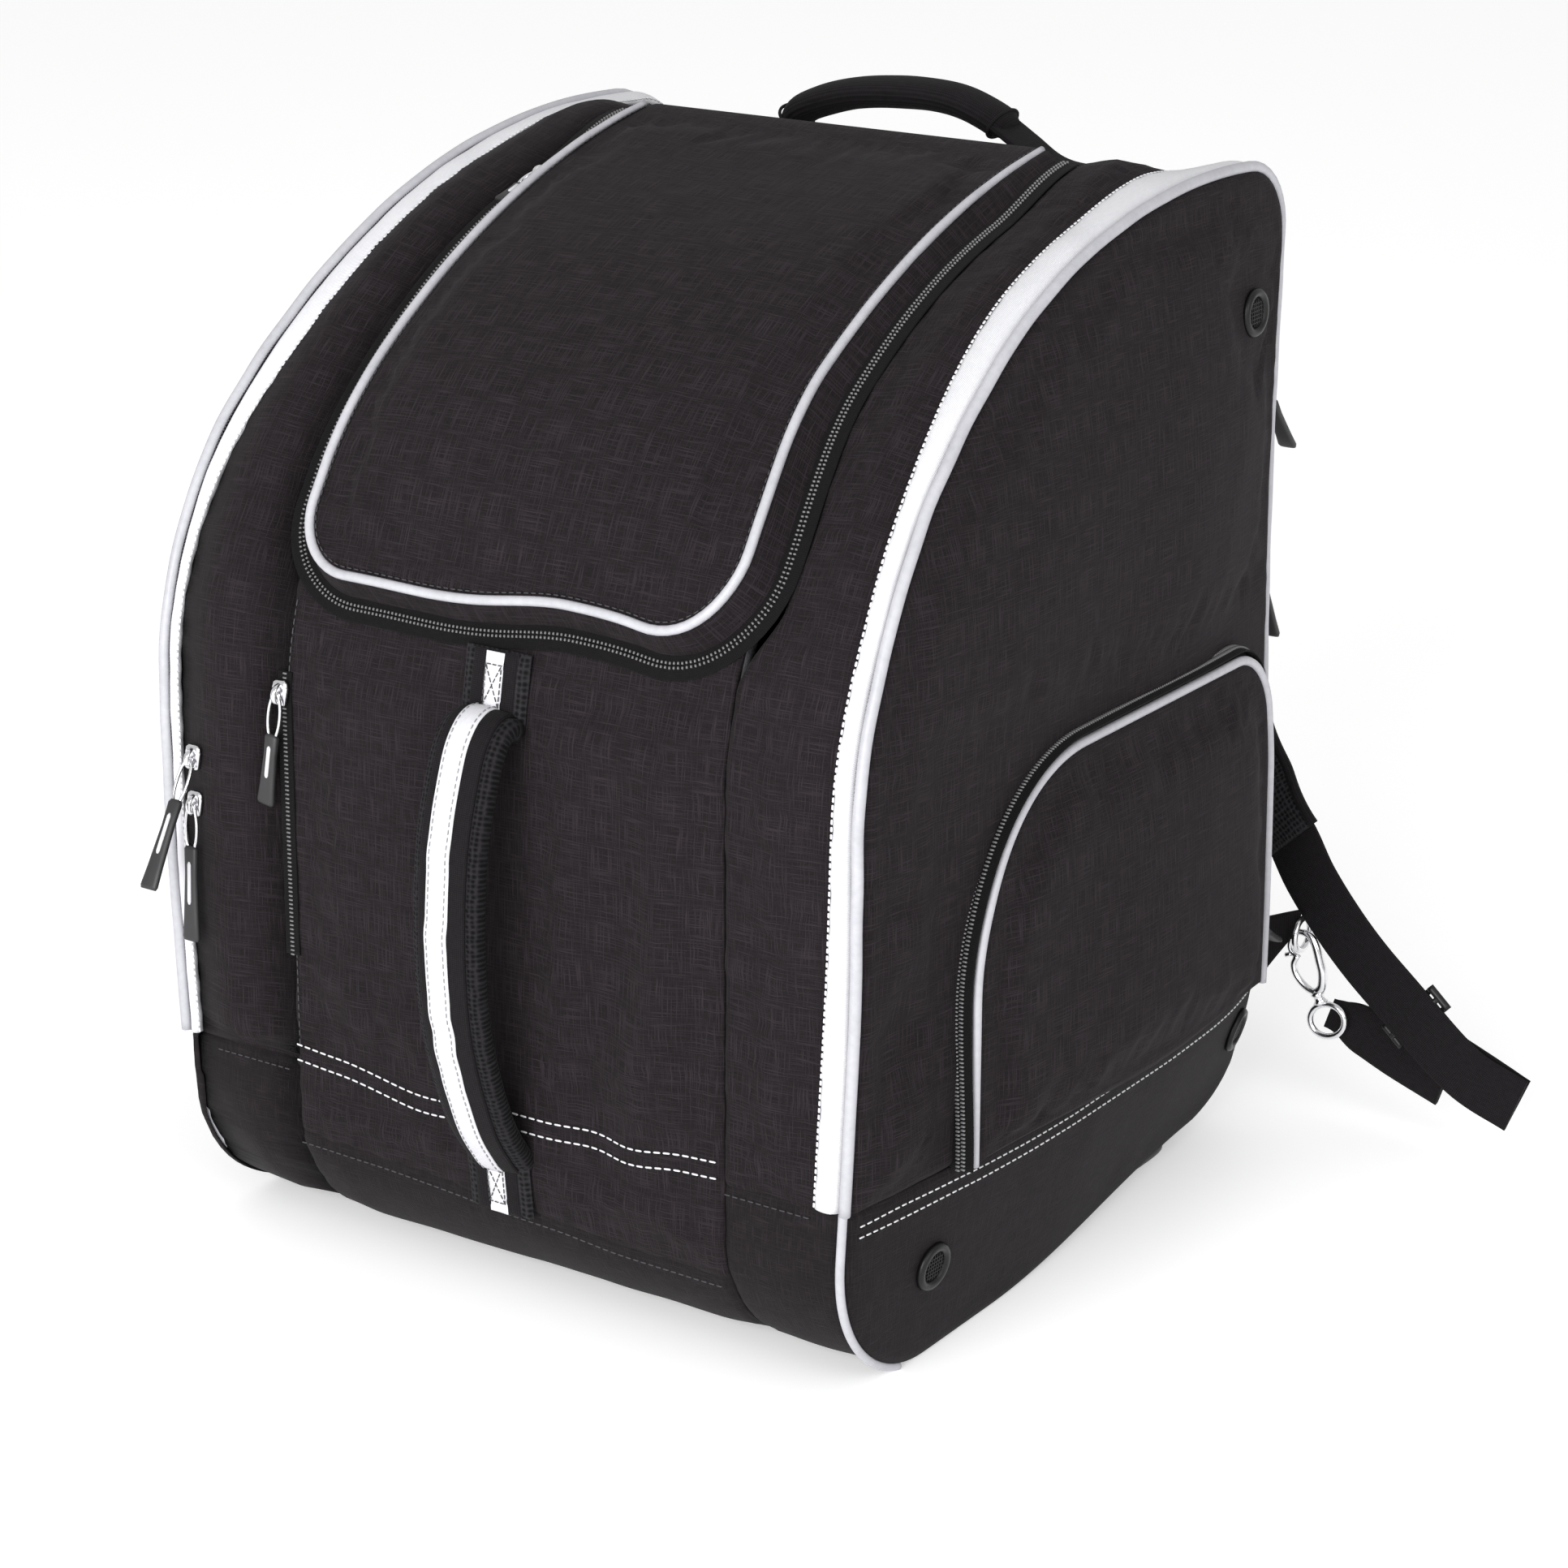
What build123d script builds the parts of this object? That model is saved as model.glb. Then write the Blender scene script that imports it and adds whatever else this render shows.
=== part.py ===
"""Ski boot bag: two side-entry boot compartments with zipped doors, a centre helmet compartment
under a curved flap, side pockets, a carry handle, a front grab handle and clip-on shoulder straps.

Frame: millimetres, +Z up, origin on the floor under the middle of the bag. The front of the bag
faces -Y, its back panel and shoulder straps face +Y, and its doors face +X and -X.
"""

from build123d import *
from math import atan2, cos, degrees, radians, sin, sqrt, tan
import os

# ---------------------------------------------------------------- driving dimensions
WIDTH = 346.0  # between the two door seams
DEPTH = 368.0
HEIGHT = 480.0
FRONT_STRAIGHT_TOP = 262.0  # where the straight front starts to lean back
SHOULDER_RADIUS = 156.0
SHOULDER_SWEEP = 50.0  # degrees
TOP_REAR_RADIUS = 35.0
FRONT_FOOT_RADIUS = 70.0
REAR_FOOT_RADIUS = 38.0

SKIN = 4.0  # padded fabric panel
SHEET = 2.0  # unpadded lining fabric
SEAM = 0.5  # clearance left between neighbouring panels
TAPE = 1.2  # zipper tape with its coil
CORD = 4.0  # piping

CENTRE_HALF = 118.0  # seam between the centre panels and the gussets
FLAP_HALF = 110.0
FLAP_BOTTOM = 316.0
FLAP_HINGE_Y = 85.0
FLAP_LIFT = 12.0  # how far the flap stands proud of the body
BAND_TOP = 91.0  # top of the coated lower band on the sides and gussets
CENTRE_BAND_TOP = 50.0
DOOR_THICKNESS = 6.0
SIDE_BELLY = 21.0  # how far the lower side bulges out at its top edge

POCKET_FRONT = -119.0
POCKET_BACK = 150.0
POCKET_TOP = 264.0
POCKET_WALL = 22.0  # depth of the side pocket's boxing
POCKET_DOME = 12.0  # further bulge of its face
POCKET_SLOPE = 12.0  # degrees its boxing leans in
POCKET_DOME_SLOPE = 62.0

WEB_THICKNESS = 3.0
STRAP_WEB = 30.0
STRAP_PAD = 52.0
STRAP_Y = 215.0  # plane in which the shoulder straps hang behind the bag

VENT_RADIUS = 11.0
VENT_HOLE = 6.5
VENT_HEIGHT = 2.5
VENT_CLEARANCE = 1.8  # keeps the flat eyelets off the bowed lower side

# ---------------------------------------------------------------- derived places
FRONT = -DEPTH / 2
BACK = DEPTH / 2
SIDE = WIDTH / 2
DOOR_INNER = SIDE + 1.0
DOOR_OUTER = DOOR_INNER + DOOR_THICKNESS
SHOULDER_CENTRE = (FRONT + SHOULDER_RADIUS, FRONT_STRAIGHT_TOP)
SHOULDER_END = (
    SHOULDER_CENTRE[0] - SHOULDER_RADIUS * cos(radians(SHOULDER_SWEEP)),
    SHOULDER_CENTRE[1] + SHOULDER_RADIUS * sin(radians(SHOULDER_SWEEP)),
)
CROWN_SWEEP = 90.0 - SHOULDER_SWEEP  # the crown arc ends level, at the top of the bag
CROWN_RADIUS = (HEIGHT - SHOULDER_END[1]) / (1 - cos(radians(CROWN_SWEEP)))
CROWN_CENTRE = (
    SHOULDER_END[0] + CROWN_RADIUS * sin(radians(CROWN_SWEEP)),
    HEIGHT - CROWN_RADIUS,
)
TOP_REAR_START = BACK - TOP_REAR_RADIUS
FOOT_START = FRONT + FRONT_FOOT_RADIUS
FAR = 600.0  # beyond the bag in any direction

SIDES = {"left": -1, "right": 1}

os.makedirs("parts", exist_ok=True)


def save(builder, name):
    """Label a finished piece and write it as its own STEP file."""
    builder.part.label = name
    export_step(builder.part, f"parts/{name}.step")


# ---------------------------------------------------------------- side outline
def side_profile(outset):
    """The bag's side outline as a local sketch (depth, height), grown by outset."""
    foot = FRONT_FOOT_RADIUS + outset
    rear_foot = REAR_FOOT_RADIUS + outset
    rear_top = TOP_REAR_RADIUS + outset
    shoulder = SHOULDER_RADIUS + outset
    crown = CROWN_RADIUS + outset
    front_foot_end = (FRONT - outset, FRONT_FOOT_RADIUS)
    front_top = (FRONT - outset, FRONT_STRAIGHT_TOP)
    with BuildSketch() as outline:
        with BuildLine():
            CenterArc((FOOT_START, FRONT_FOOT_RADIUS), foot, 180, 90)
            Line(front_foot_end, front_top)
            CenterArc(SHOULDER_CENTRE, shoulder, 180 - SHOULDER_SWEEP, SHOULDER_SWEEP)
            CenterArc(CROWN_CENTRE, crown, 90, CROWN_SWEEP)
            Line((CROWN_CENTRE[0], HEIGHT + outset), (TOP_REAR_START, HEIGHT + outset))
            CenterArc((TOP_REAR_START, HEIGHT - TOP_REAR_RADIUS), rear_top, 0, 90)
            Line((BACK + outset, HEIGHT - TOP_REAR_RADIUS), (BACK + outset, REAR_FOOT_RADIUS))
            CenterArc((BACK - REAR_FOOT_RADIUS, REAR_FOOT_RADIUS), rear_foot, 270, 90)
            Line((BACK - REAR_FOOT_RADIUS, -outset), (FOOT_START, -outset))
        make_face()
    return outline.sketch


def window(y_low, y_high, z_low, z_high):
    """A rectangle that keeps one stretch of the side outline."""
    with BuildSketch() as frame:
        with Locations(((y_low + y_high) / 2, (z_low + z_high) / 2)):
            Rectangle(y_high - y_low, z_high - z_low)
    return frame.sketch


def wall_band(inner, outer, kept):
    """The strip of the side outline between two outsets, inside the kept window."""
    with BuildSketch() as band:
        add(side_profile(outer))
        add(side_profile(inner), mode=Mode.SUBTRACT)
        add(kept, mode=Mode.INTERSECT)
    return band.sketch


def body_panel(name, half_width, kept, inner=-SKIN, outer=0.0):
    """A panel that spans the bag symmetrically and follows its side outline."""
    with BuildPart() as panel:
        with BuildSketch(Plane.YZ):
            add(wall_band(inner, outer, kept))
        extrude(amount=half_width, both=True)
    save(panel, name)


# ---------------------------------------------------------------- body panels
FRONT_PANEL_TOP = FLAP_BOTTOM - 12.0
body_panel("front_panel", CENTRE_HALF, window(-FAR, FOOT_START, CENTRE_BAND_TOP + SEAM, FRONT_PANEL_TOP))
body_panel("front_lower_band", CENTRE_HALF, window(-FAR, FOOT_START - SEAM, -FAR, CENTRE_BAND_TOP))
body_panel("top_panel", CENTRE_HALF, window(FLAP_HINGE_Y, TOP_REAR_START - SEAM, HEIGHT / 2, FAR))
body_panel("back_panel", SIDE - SEAM, window(TOP_REAR_START, FAR, -FAR, FAR))
body_panel("base_panel", SIDE - SEAM, window(FOOT_START, TOP_REAR_START - SEAM, -FAR, HEIGHT / 2))

GUSSET_IN = CENTRE_HALF + SEAM
GUSSET_OUT = SIDE - SEAM
for side, sign in SIDES.items():
    with BuildPart() as gusset:
        with BuildSketch(Plane.YZ.offset(sign * GUSSET_IN)):
            add(wall_band(-SKIN, 0.0, window(-FAR, TOP_REAR_START - SEAM, BAND_TOP + SEAM, FAR)))
        extrude(amount=sign * (GUSSET_OUT - GUSSET_IN))
    save(gusset, f"{side}_gusset")

with BuildPart() as gusset_lower_bands:
    for sign in SIDES.values():
        with BuildSketch(Plane.YZ.offset(sign * GUSSET_IN)):
            add(wall_band(-SKIN, 0.0, window(-FAR, FOOT_START - SEAM, -FAR, BAND_TOP)))
        extrude(amount=sign * (GUSSET_OUT - GUSSET_IN))
save(gusset_lower_bands, "gusset_lower_bands")

# Stiff board lying on the base inside the bag.
BOARD = 3.0
BOARD_LENGTH = 240.0
with BuildPart() as base_stiffener:
    with BuildSketch(Plane.XY.offset(SKIN + SEAM)):
        with Locations((0, (FOOT_START + TOP_REAR_START) / 2)):
            RectangleRounded(2 * SIDE - 20, BOARD_LENGTH, 12)
    extrude(amount=BOARD)
save(base_stiffener, "base_stiffener")

# Lining of the front pocket, a flat sleeve behind the front panel.
LINING_HEIGHT = 182.0
LINING_LOW = 76.0
with BuildPart() as front_pocket_lining:
    with BuildSketch(Plane.XZ.offset(-(FRONT + SKIN + SEAM))):
        with Locations((0, LINING_LOW + LINING_HEIGHT / 2)):
            RectangleRounded(2 * CENTRE_HALF - 12, LINING_HEIGHT, 12)
    extrude(amount=-SHEET / 2)
save(front_pocket_lining, "front_pocket_lining")

# Dividers: soft trays sewn in at the gusset seams, each holding one boot.
DIVIDER_INSET = SKIN + SEAM + BOARD + 1.5
DIVIDER_DEPTH = 56.0
DIVIDER_SLOPE = 12.0  # degrees
for side, sign in SIDES.items():
    with BuildPart() as divider:
        with BuildSketch(Plane.YZ.offset(sign * CENTRE_HALF)):
            add(side_profile(-DIVIDER_INSET))
        extrude(amount=-sign * DIVIDER_DEPTH, taper=DIVIDER_SLOPE)
        with BuildSketch(Plane.YZ.offset(sign * CENTRE_HALF)):
            add(side_profile(-DIVIDER_INSET - SHEET))
        extrude(amount=-sign * (DIVIDER_DEPTH - SHEET), taper=DIVIDER_SLOPE, mode=Mode.SUBTRACT)
    save(divider, f"{side}_divider")


# ---------------------------------------------------------------- lower sides
def bowed_strip(height, bow, sign):
    """Cross-section of the lower side at one height: a strip bowed outward by bow."""
    half = DEPTH / 2
    outer = DOOR_INNER + SKIN
    inner = outer - SKIN
    with BuildSketch(Plane.XY.offset(height)) as strip:
        with BuildLine():
            ThreePointArc((sign * inner, -half), (sign * (inner + bow), 0), (sign * inner, half))
            Line((sign * inner, half), (sign * outer, half))
            ThreePointArc((sign * outer, half), (sign * (outer + bow), 0), (sign * outer, -half))
            Line((sign * outer, -half), (sign * inner, -half))
        make_face()
    return strip.sketch


for side, sign in SIDES.items():
    with BuildPart() as lower_side:
        add(bowed_strip(0.0, 1.0, sign))
        add(bowed_strip(BAND_TOP, SIDE_BELLY, sign))
        loft()
        with BuildSketch(Plane.YZ):
            add(side_profile(0.0))
        extrude(amount=sign * FAR, mode=Mode.INTERSECT)
    save(lower_side, f"{side}_lower_side")


def belly(y, z):
    """How far the lower side stands out at one place."""
    return 1.0 + (SIDE_BELLY - 1.0) * z / BAND_TOP * (1 - (2 * y / DEPTH) ** 2)


# ---------------------------------------------------------------- vents
def vent_ring(plane):
    """Round eyelet with its hole, lying on a plane."""
    with BuildPart() as ring:
        with BuildSketch(plane):
            Circle(VENT_RADIUS)
            Circle(VENT_HOLE, mode=Mode.SUBTRACT)
        extrude(amount=VENT_HEIGHT)
        fillet(ring.faces().sort_by(Axis(plane.origin, plane.z_dir))[-1].edges(), 0.8)
    return ring.part


LOWER_VENTS = [(-122.0, 46.0), (166.0, 57.0)]  # depth and height
with BuildPart() as lower_vents:
    for sign in SIDES.values():
        for y, z in LOWER_VENTS:
            x = DOOR_INNER + SKIN + belly(y, z) + VENT_CLEARANCE
            add(vent_ring(Plane(origin=(sign * x, y, z), x_dir=(0, 1, 0), z_dir=(sign, 0, 0))))
save(lower_vents, "lower_vents")

DOOR_VENT = (143.0, 416.0)
for side, sign in SIDES.items():
    with BuildPart() as door_vent:
        x = sign * (DOOR_OUTER + 0.2)
        add(vent_ring(Plane(origin=(x, *DOOR_VENT), x_dir=(0, 1, 0), z_dir=(sign, 0, 0))))
    save(door_vent, f"{side}_door_vent")

# ---------------------------------------------------------------- doors
for side, sign in SIDES.items():
    with BuildPart() as door:
        with BuildSketch(Plane.YZ.offset(sign * DOOR_INNER)):
            add(side_profile(0.0))
            add(window(-FAR, FAR, BAND_TOP + 2, FAR), mode=Mode.INTERSECT)
        extrude(amount=sign * DOOR_THICKNESS)
    save(door, f"{side}_door")

    with BuildPart() as door_piping:
        with BuildSketch(Plane.YZ.offset(sign * DOOR_INNER)):
            add(wall_band(SEAM, SEAM + CORD, window(-FAR, FAR, BAND_TOP + 2, FAR)))
        extrude(amount=sign * CORD)
    save(door_piping, f"{side}_door_piping")

# White zipper tape on the body side of each door opening.
DOOR_TAPE_WIDTH = 10.0
with BuildPart() as door_zip_tapes:
    for sign in SIDES.values():
        with BuildSketch(Plane.YZ.offset(sign * (GUSSET_OUT - DOOR_TAPE_WIDTH))):
            add(wall_band(0.3, 0.3 + TAPE, window(-FAR, FAR, BAND_TOP + 2, FAR)))
        extrude(amount=sign * DOOR_TAPE_WIDTH)
save(door_zip_tapes, "door_zip_tapes")

# Piping that carries on round the lower front corner, under each door.
LOWER_PIPING_END = FRONT + 44.0
with BuildPart() as lower_piping:
    for sign in SIDES.values():
        with BuildSketch(Plane.YZ.offset(sign * DOOR_INNER)):
            add(wall_band(0.3, 0.3 + CORD * 0.8, window(-FAR, LOWER_PIPING_END, -FAR, BAND_TOP)))
        extrude(amount=sign * CORD)
save(lower_piping, "lower_piping")

# ---------------------------------------------------------------- helmet flap
FLAP_UNDER = 2.0  # the flap's underside clears the zipper tape
FLAP_THIN_TOP = 6.0  # the flap thins to a single layer at its hinge
FLAP_THICK_END = FLAP_HINGE_Y - 23.0
with BuildPart() as helmet_flap:
    with BuildSketch(Plane.YZ):
        add(wall_band(FLAP_UNDER, FLAP_UNDER + FLAP_LIFT, window(-FAR, FLAP_THICK_END, FLAP_BOTTOM, FAR)))
        add(wall_band(FLAP_UNDER, FLAP_THIN_TOP, window(-FAR, FLAP_HINGE_Y - 1, FLAP_BOTTOM, FAR)))
    extrude(amount=FLAP_HALF, both=True)
save(helmet_flap, "helmet_flap")

PIPING_LOW = FLAP_UNDER + FLAP_LIFT - CORD
with BuildPart() as flap_piping:
    for sign in SIDES.values():
        with BuildSketch(Plane.YZ.offset(sign * (FLAP_HALF + 0.4))):
            side_window = window(-FAR, FLAP_THICK_END, FLAP_BOTTOM - CORD, FAR)
            add(wall_band(PIPING_LOW, PIPING_LOW + CORD, side_window))
        extrude(amount=sign * CORD)
    with BuildSketch(Plane.YZ):
        add(wall_band(PIPING_LOW, PIPING_LOW + CORD, window(-FAR, 0, FLAP_BOTTOM - CORD, FLAP_BOTTOM - 0.4)))
    extrude(amount=FLAP_HALF + CORD, both=True)
save(flap_piping, "flap_piping")

# Black coil zippers fixed to the body: the flap's U-shaped one and the front pocket's straight one.
COIL_IN = FLAP_HALF + 2.0
COIL_WIDTH = 12.0
FRONT_ZIP_X = -(CENTRE_HALF - 1.0)
FRONT_ZIP_LOW = 146.0
FRONT_ZIP_HIGH = 275.0
with BuildPart() as body_zip_coils:
    for sign in SIDES.values():
        with BuildSketch(Plane.YZ.offset(sign * COIL_IN)):
            add(wall_band(0.3, 0.3 + TAPE, window(-FAR, FLAP_HINGE_Y - 1, FLAP_BOTTOM - COIL_WIDTH, FAR)))
        extrude(amount=sign * COIL_WIDTH)
    with BuildSketch(Plane.YZ):
        add(wall_band(0.3, 0.3 + TAPE, window(-FAR, 0, FLAP_BOTTOM - COIL_WIDTH, FLAP_BOTTOM - 1)))
    extrude(amount=COIL_IN + COIL_WIDTH, both=True)
    with BuildSketch(Plane.XZ.offset(-FRONT + 0.3)):
        with Locations((FRONT_ZIP_X, (FRONT_ZIP_LOW + FRONT_ZIP_HIGH) / 2)):
            Rectangle(8, FRONT_ZIP_HIGH - FRONT_ZIP_LOW)
    extrude(amount=TAPE)
save(body_zip_coils, "body_zip_coils")


# ---------------------------------------------------------------- side pockets
def pocket_outline(inset):
    """Outline of the side pocket on the door: large front-top corner, small back-top one."""
    left = POCKET_FRONT + inset
    right = POCKET_BACK - inset
    low = BAND_TOP + 3 + inset
    high = POCKET_TOP - inset
    front_radius = 95.0 - inset
    back_radius = 32.0 - inset / 2
    with BuildSketch() as outline:
        with BuildLine():
            Line((left, low), (left, high - front_radius))
            CenterArc((left + front_radius, high - front_radius), front_radius, 90, 90)
            Line((left + front_radius, high), (right - back_radius, high))
            CenterArc((right - back_radius, high - back_radius), back_radius, 0, 90)
            Line((right, high - back_radius), (right, low))
            Line((right, low), (left, low))
        make_face()
    return outline.sketch


POCKET_BASE = DOOR_OUTER + SEAM
for side, sign in SIDES.items():
    with BuildPart() as pocket:
        with BuildSketch(Plane.YZ.offset(sign * POCKET_BASE)):
            add(pocket_outline(0.0))
        extrude(amount=sign * POCKET_WALL, taper=POCKET_SLOPE)
        with BuildSketch(Plane.YZ.offset(sign * (POCKET_BASE + POCKET_WALL))):
            add(pocket_outline(POCKET_WALL * tan(radians(POCKET_SLOPE)) + 0.2))
        extrude(amount=sign * POCKET_DOME, taper=POCKET_DOME_SLOPE)
        with BuildSketch(Plane.YZ.offset(sign * POCKET_BASE)):
            add(pocket_outline(SKIN))
        extrude(amount=sign * (POCKET_WALL - SKIN), taper=POCKET_SLOPE, mode=Mode.SUBTRACT)
    save(pocket, f"{side}_pocket")


# ---------------------------------------------------------------- zipper sliders and pulls
SLIDER_WIDTH = 8.0
SLIDER_LENGTH = 11.0
SLIDER_HEIGHT = 3.0
BRIDGE_WIDTH = 2.4
BRIDGE_HEIGHT = 3.2
WIRE = 1.4
LOOP_LENGTH = 20.0
LOOP_WIDTH = 6.4
TAB_WIDTH = 8.0
TAB_THICKNESS = 3.0
PULL_PIVOT = SLIDER_HEIGHT + BRIDGE_HEIGHT / 2 - 0.2  # height of the wire above the tape


def make_slider(name, plane):
    """Slider body with a bridge over the wire; plane lies on the tape, its y axis along the zip."""
    with BuildPart() as slider:
        with BuildSketch(plane):
            RectangleRounded(SLIDER_WIDTH, SLIDER_LENGTH, 2.5)
        extrude(amount=SLIDER_HEIGHT)
        across = Plane(origin=plane.origin, x_dir=plane.y_dir, z_dir=plane.x_dir)
        with BuildSketch(across):
            with Locations((0, SLIDER_HEIGHT + BRIDGE_HEIGHT / 2)):
                Rectangle(8, BRIDGE_HEIGHT)
                Rectangle(4.4, BRIDGE_HEIGHT - 0.8, align=(Align.CENTER, Align.CENTER), mode=Mode.SUBTRACT)
        extrude(amount=BRIDGE_WIDTH / 2, both=True)
    save(slider, name)


def make_pull(name, plane, kick, tab_length):
    """Wire loop and moulded tab, turned out from the tape by kick degrees about the bridge."""
    pivot = Plane(plane.offset(PULL_PIVOT).location * Rotation(-kick, 0, 0))
    with BuildPart() as pull:
        with BuildSketch(pivot.offset(-WIRE / 2)):
            with Locations((0, WIRE / 2 - LOOP_LENGTH / 2)):
                SlotOverall(LOOP_LENGTH, LOOP_WIDTH, rotation=90)
                SlotOverall(LOOP_LENGTH - 2 * WIRE, LOOP_WIDTH - 2 * WIRE, rotation=90, mode=Mode.SUBTRACT)
        extrude(amount=WIRE)
        with BuildSketch(pivot.offset(-TAB_THICKNESS / 2)):
            with Locations((0, WIRE / 2 - LOOP_LENGTH - 0.3 - tab_length / 2)):
                RectangleRounded(TAB_WIDTH, tab_length, 2)
        extrude(amount=TAB_THICKNESS)
    save(pull, name)


def zipper_pair(prefix, suffix, plane, kick=0.0, tab_length=36.0):
    """One slider and its pull."""
    make_slider(f"{prefix}_slider{suffix}", plane)
    make_pull(f"{prefix}_pull{suffix}", plane, kick, tab_length)


TAPE_TOP = 0.3 + TAPE + 0.3  # sliders ride just clear of the tape
DOOR_ZIP_X = SIDE - 5.0


def front_plane(x, z):
    """Tape plane on the front of the bag."""
    return Plane(origin=(x, FRONT - TAPE_TOP, z), x_dir=(1, 0, 0), z_dir=(0, -1, 0))


def back_plane(x, y, z):
    """Tape plane that faces the back of the bag."""
    return Plane(origin=(x, y, z), x_dir=(-1, 0, 0), z_dir=(0, 1, 0))


zipper_pair("left_door", "_upper", front_plane(-DOOR_ZIP_X, 228.0), kick=30.0)
zipper_pair("left_door", "_lower", front_plane(-DOOR_ZIP_X, 206.0))
zipper_pair("right_door", "_upper", back_plane(DOOR_ZIP_X, BACK + TAPE_TOP, 378.0))
zipper_pair("right_door", "_lower", back_plane(DOOR_ZIP_X, BACK + TAPE_TOP, 297.0))
zipper_pair("front_pocket", "", front_plane(FRONT_ZIP_X, 267.0))

FLAP_SLIDER_ANGLE = 18.0  # along the crown arc, down from its top end
crown_normal = (0, -sin(radians(FLAP_SLIDER_ANGLE)), cos(radians(FLAP_SLIDER_ANGLE)))
flap_slider_origin = (
    -(FLAP_HALF + 9.5),
    CROWN_CENTRE[0] + (CROWN_RADIUS + TAPE_TOP) * crown_normal[1],
    CROWN_CENTRE[1] + (CROWN_RADIUS + TAPE_TOP) * crown_normal[2],
)
zipper_pair("flap", "", Plane(origin=flap_slider_origin, x_dir=(1, 0, 0), z_dir=crown_normal))

for side, sign in SIDES.items():
    pocket_tape = back_plane(sign * (POCKET_BASE + 9), POCKET_BACK + 1.5, 118.0)
    zipper_pair(f"{side}_pocket", "", pocket_tape, kick=55.0, tab_length=14.0)

# ---------------------------------------------------------------- carry handle on the top
CARRY_Y = 150.0
CARRY_SPAN = 62.0
CARRY_FOOT = HEIGHT + 7.0
CARRY_TOP = HEIGHT + 23.0
GRIP_HALF = 44.0


def arch_band(half_span, thickness):
    """Arched strip of the carry handle, as a local sketch (across the bag, height)."""
    with BuildSketch() as band:
        with BuildLine():
            ThreePointArc((-CARRY_SPAN, CARRY_FOOT), (0, CARRY_TOP), (CARRY_SPAN, CARRY_FOOT))
        trace(line_width=thickness)
        Rectangle(2 * half_span, 4 * FAR, mode=Mode.INTERSECT)
    return band.sketch


with BuildPart() as carry_handle_webbing:
    with BuildSketch(Plane.XZ.offset(-CARRY_Y)):
        add(arch_band(CARRY_SPAN, WEB_THICKNESS))
    extrude(amount=6, both=True)
save(carry_handle_webbing, "carry_handle_webbing")

with BuildPart() as carry_handle_grip:
    with BuildSketch(Plane.XZ.offset(-CARRY_Y)):
        add(arch_band(GRIP_HALF, 12.0))
    extrude(amount=12, both=True)
    fillet(carry_handle_grip.edges().filter_by(GeomType.CIRCLE), 3)
    with BuildSketch(Plane.XZ.offset(-CARRY_Y)):
        add(arch_band(GRIP_HALF + 2, WEB_THICKNESS + 0.6))
    extrude(amount=6.3, both=True, mode=Mode.SUBTRACT)
save(carry_handle_grip, "carry_handle_grip")

# ---------------------------------------------------------------- grab handle on the front
GRAB_LOW = 86.0
GRAB_HIGH = 270.0
GRAB_BOW = 37.0
GRAB_END = 13.0  # stand-off of the moving bow at its ends
GRAB_WIDTH = 34.0
GRAB_THICKNESS = 6.0
STRIPE_WIDTH = 10.0


def bow_band(shift, thickness):
    """Bowed strip of the grab handle, as a local sketch (depth, height)."""
    middle = (GRAB_LOW + GRAB_HIGH) / 2
    with BuildSketch() as band:
        with BuildLine():
            ThreePointArc(
                (FRONT - GRAB_END - shift, GRAB_LOW),
                (FRONT - GRAB_BOW - shift, middle),
                (FRONT - GRAB_END - shift, GRAB_HIGH),
            )
        trace(line_width=thickness)
    return band.sketch


with BuildPart() as grab_handle_webbing:
    with BuildSketch(Plane.YZ):
        add(bow_band(0.0, GRAB_THICKNESS))
    extrude(amount=GRAB_WIDTH / 2, both=True)
save(grab_handle_webbing, "grab_handle_webbing")

with BuildPart() as grab_handle_stripe:
    with BuildSketch(Plane.YZ):
        add(bow_band(GRAB_THICKNESS / 2 + 1.0, 1.0))
    extrude(amount=STRIPE_WIDTH / 2, both=True)
save(grab_handle_stripe, "grab_handle_stripe")

# ---------------------------------------------------------------- shoulder straps
STRAP_TOP = (75.0, 440.0)  # (outward, height) of the upper anchor
HOOK_EYE = (187.0, 85.0)  # where the hook hangs in its ring
RING_RADIUS = 8.0
RING_WIRE = 1.6
HOOK_OUTER = 10.0
HOOK_INNER = 6.0
HOOK_THICKNESS = 4.0
HOOK_REACH = 38.0  # from the loop's centre to the webbing eye
HOOK_LEAN = 24.5  # degrees the hook leans outward from vertical


def strap_plane(y):
    """Upright plane behind the bag that faces the back."""
    return Plane(origin=(0, y, 0), x_dir=(-1, 0, 0), z_dir=(0, 1, 0))


def outward(sign, x, z):
    """A place in the strap plane's own coordinates, from its outward distance and height."""
    return (-sign * x, z)


LOOP_DROP = 13.0
GATE_LENGTH = 11.0
GATE_WIDTH = 3.0
WEB_PATH = [(194.0, 125.0), (268.0, 56.0), (316.0, 28.0)]
LEG_PATH = [(214.0, 46.0), (254.0, 28.0)]
PAD_PATH = [(75.0, 432.0), (118.0, 290.0), (140.0, 190.0), (188.0, 131.0)]
ADJUSTER_AT = (252.0, 71.0)

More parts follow.
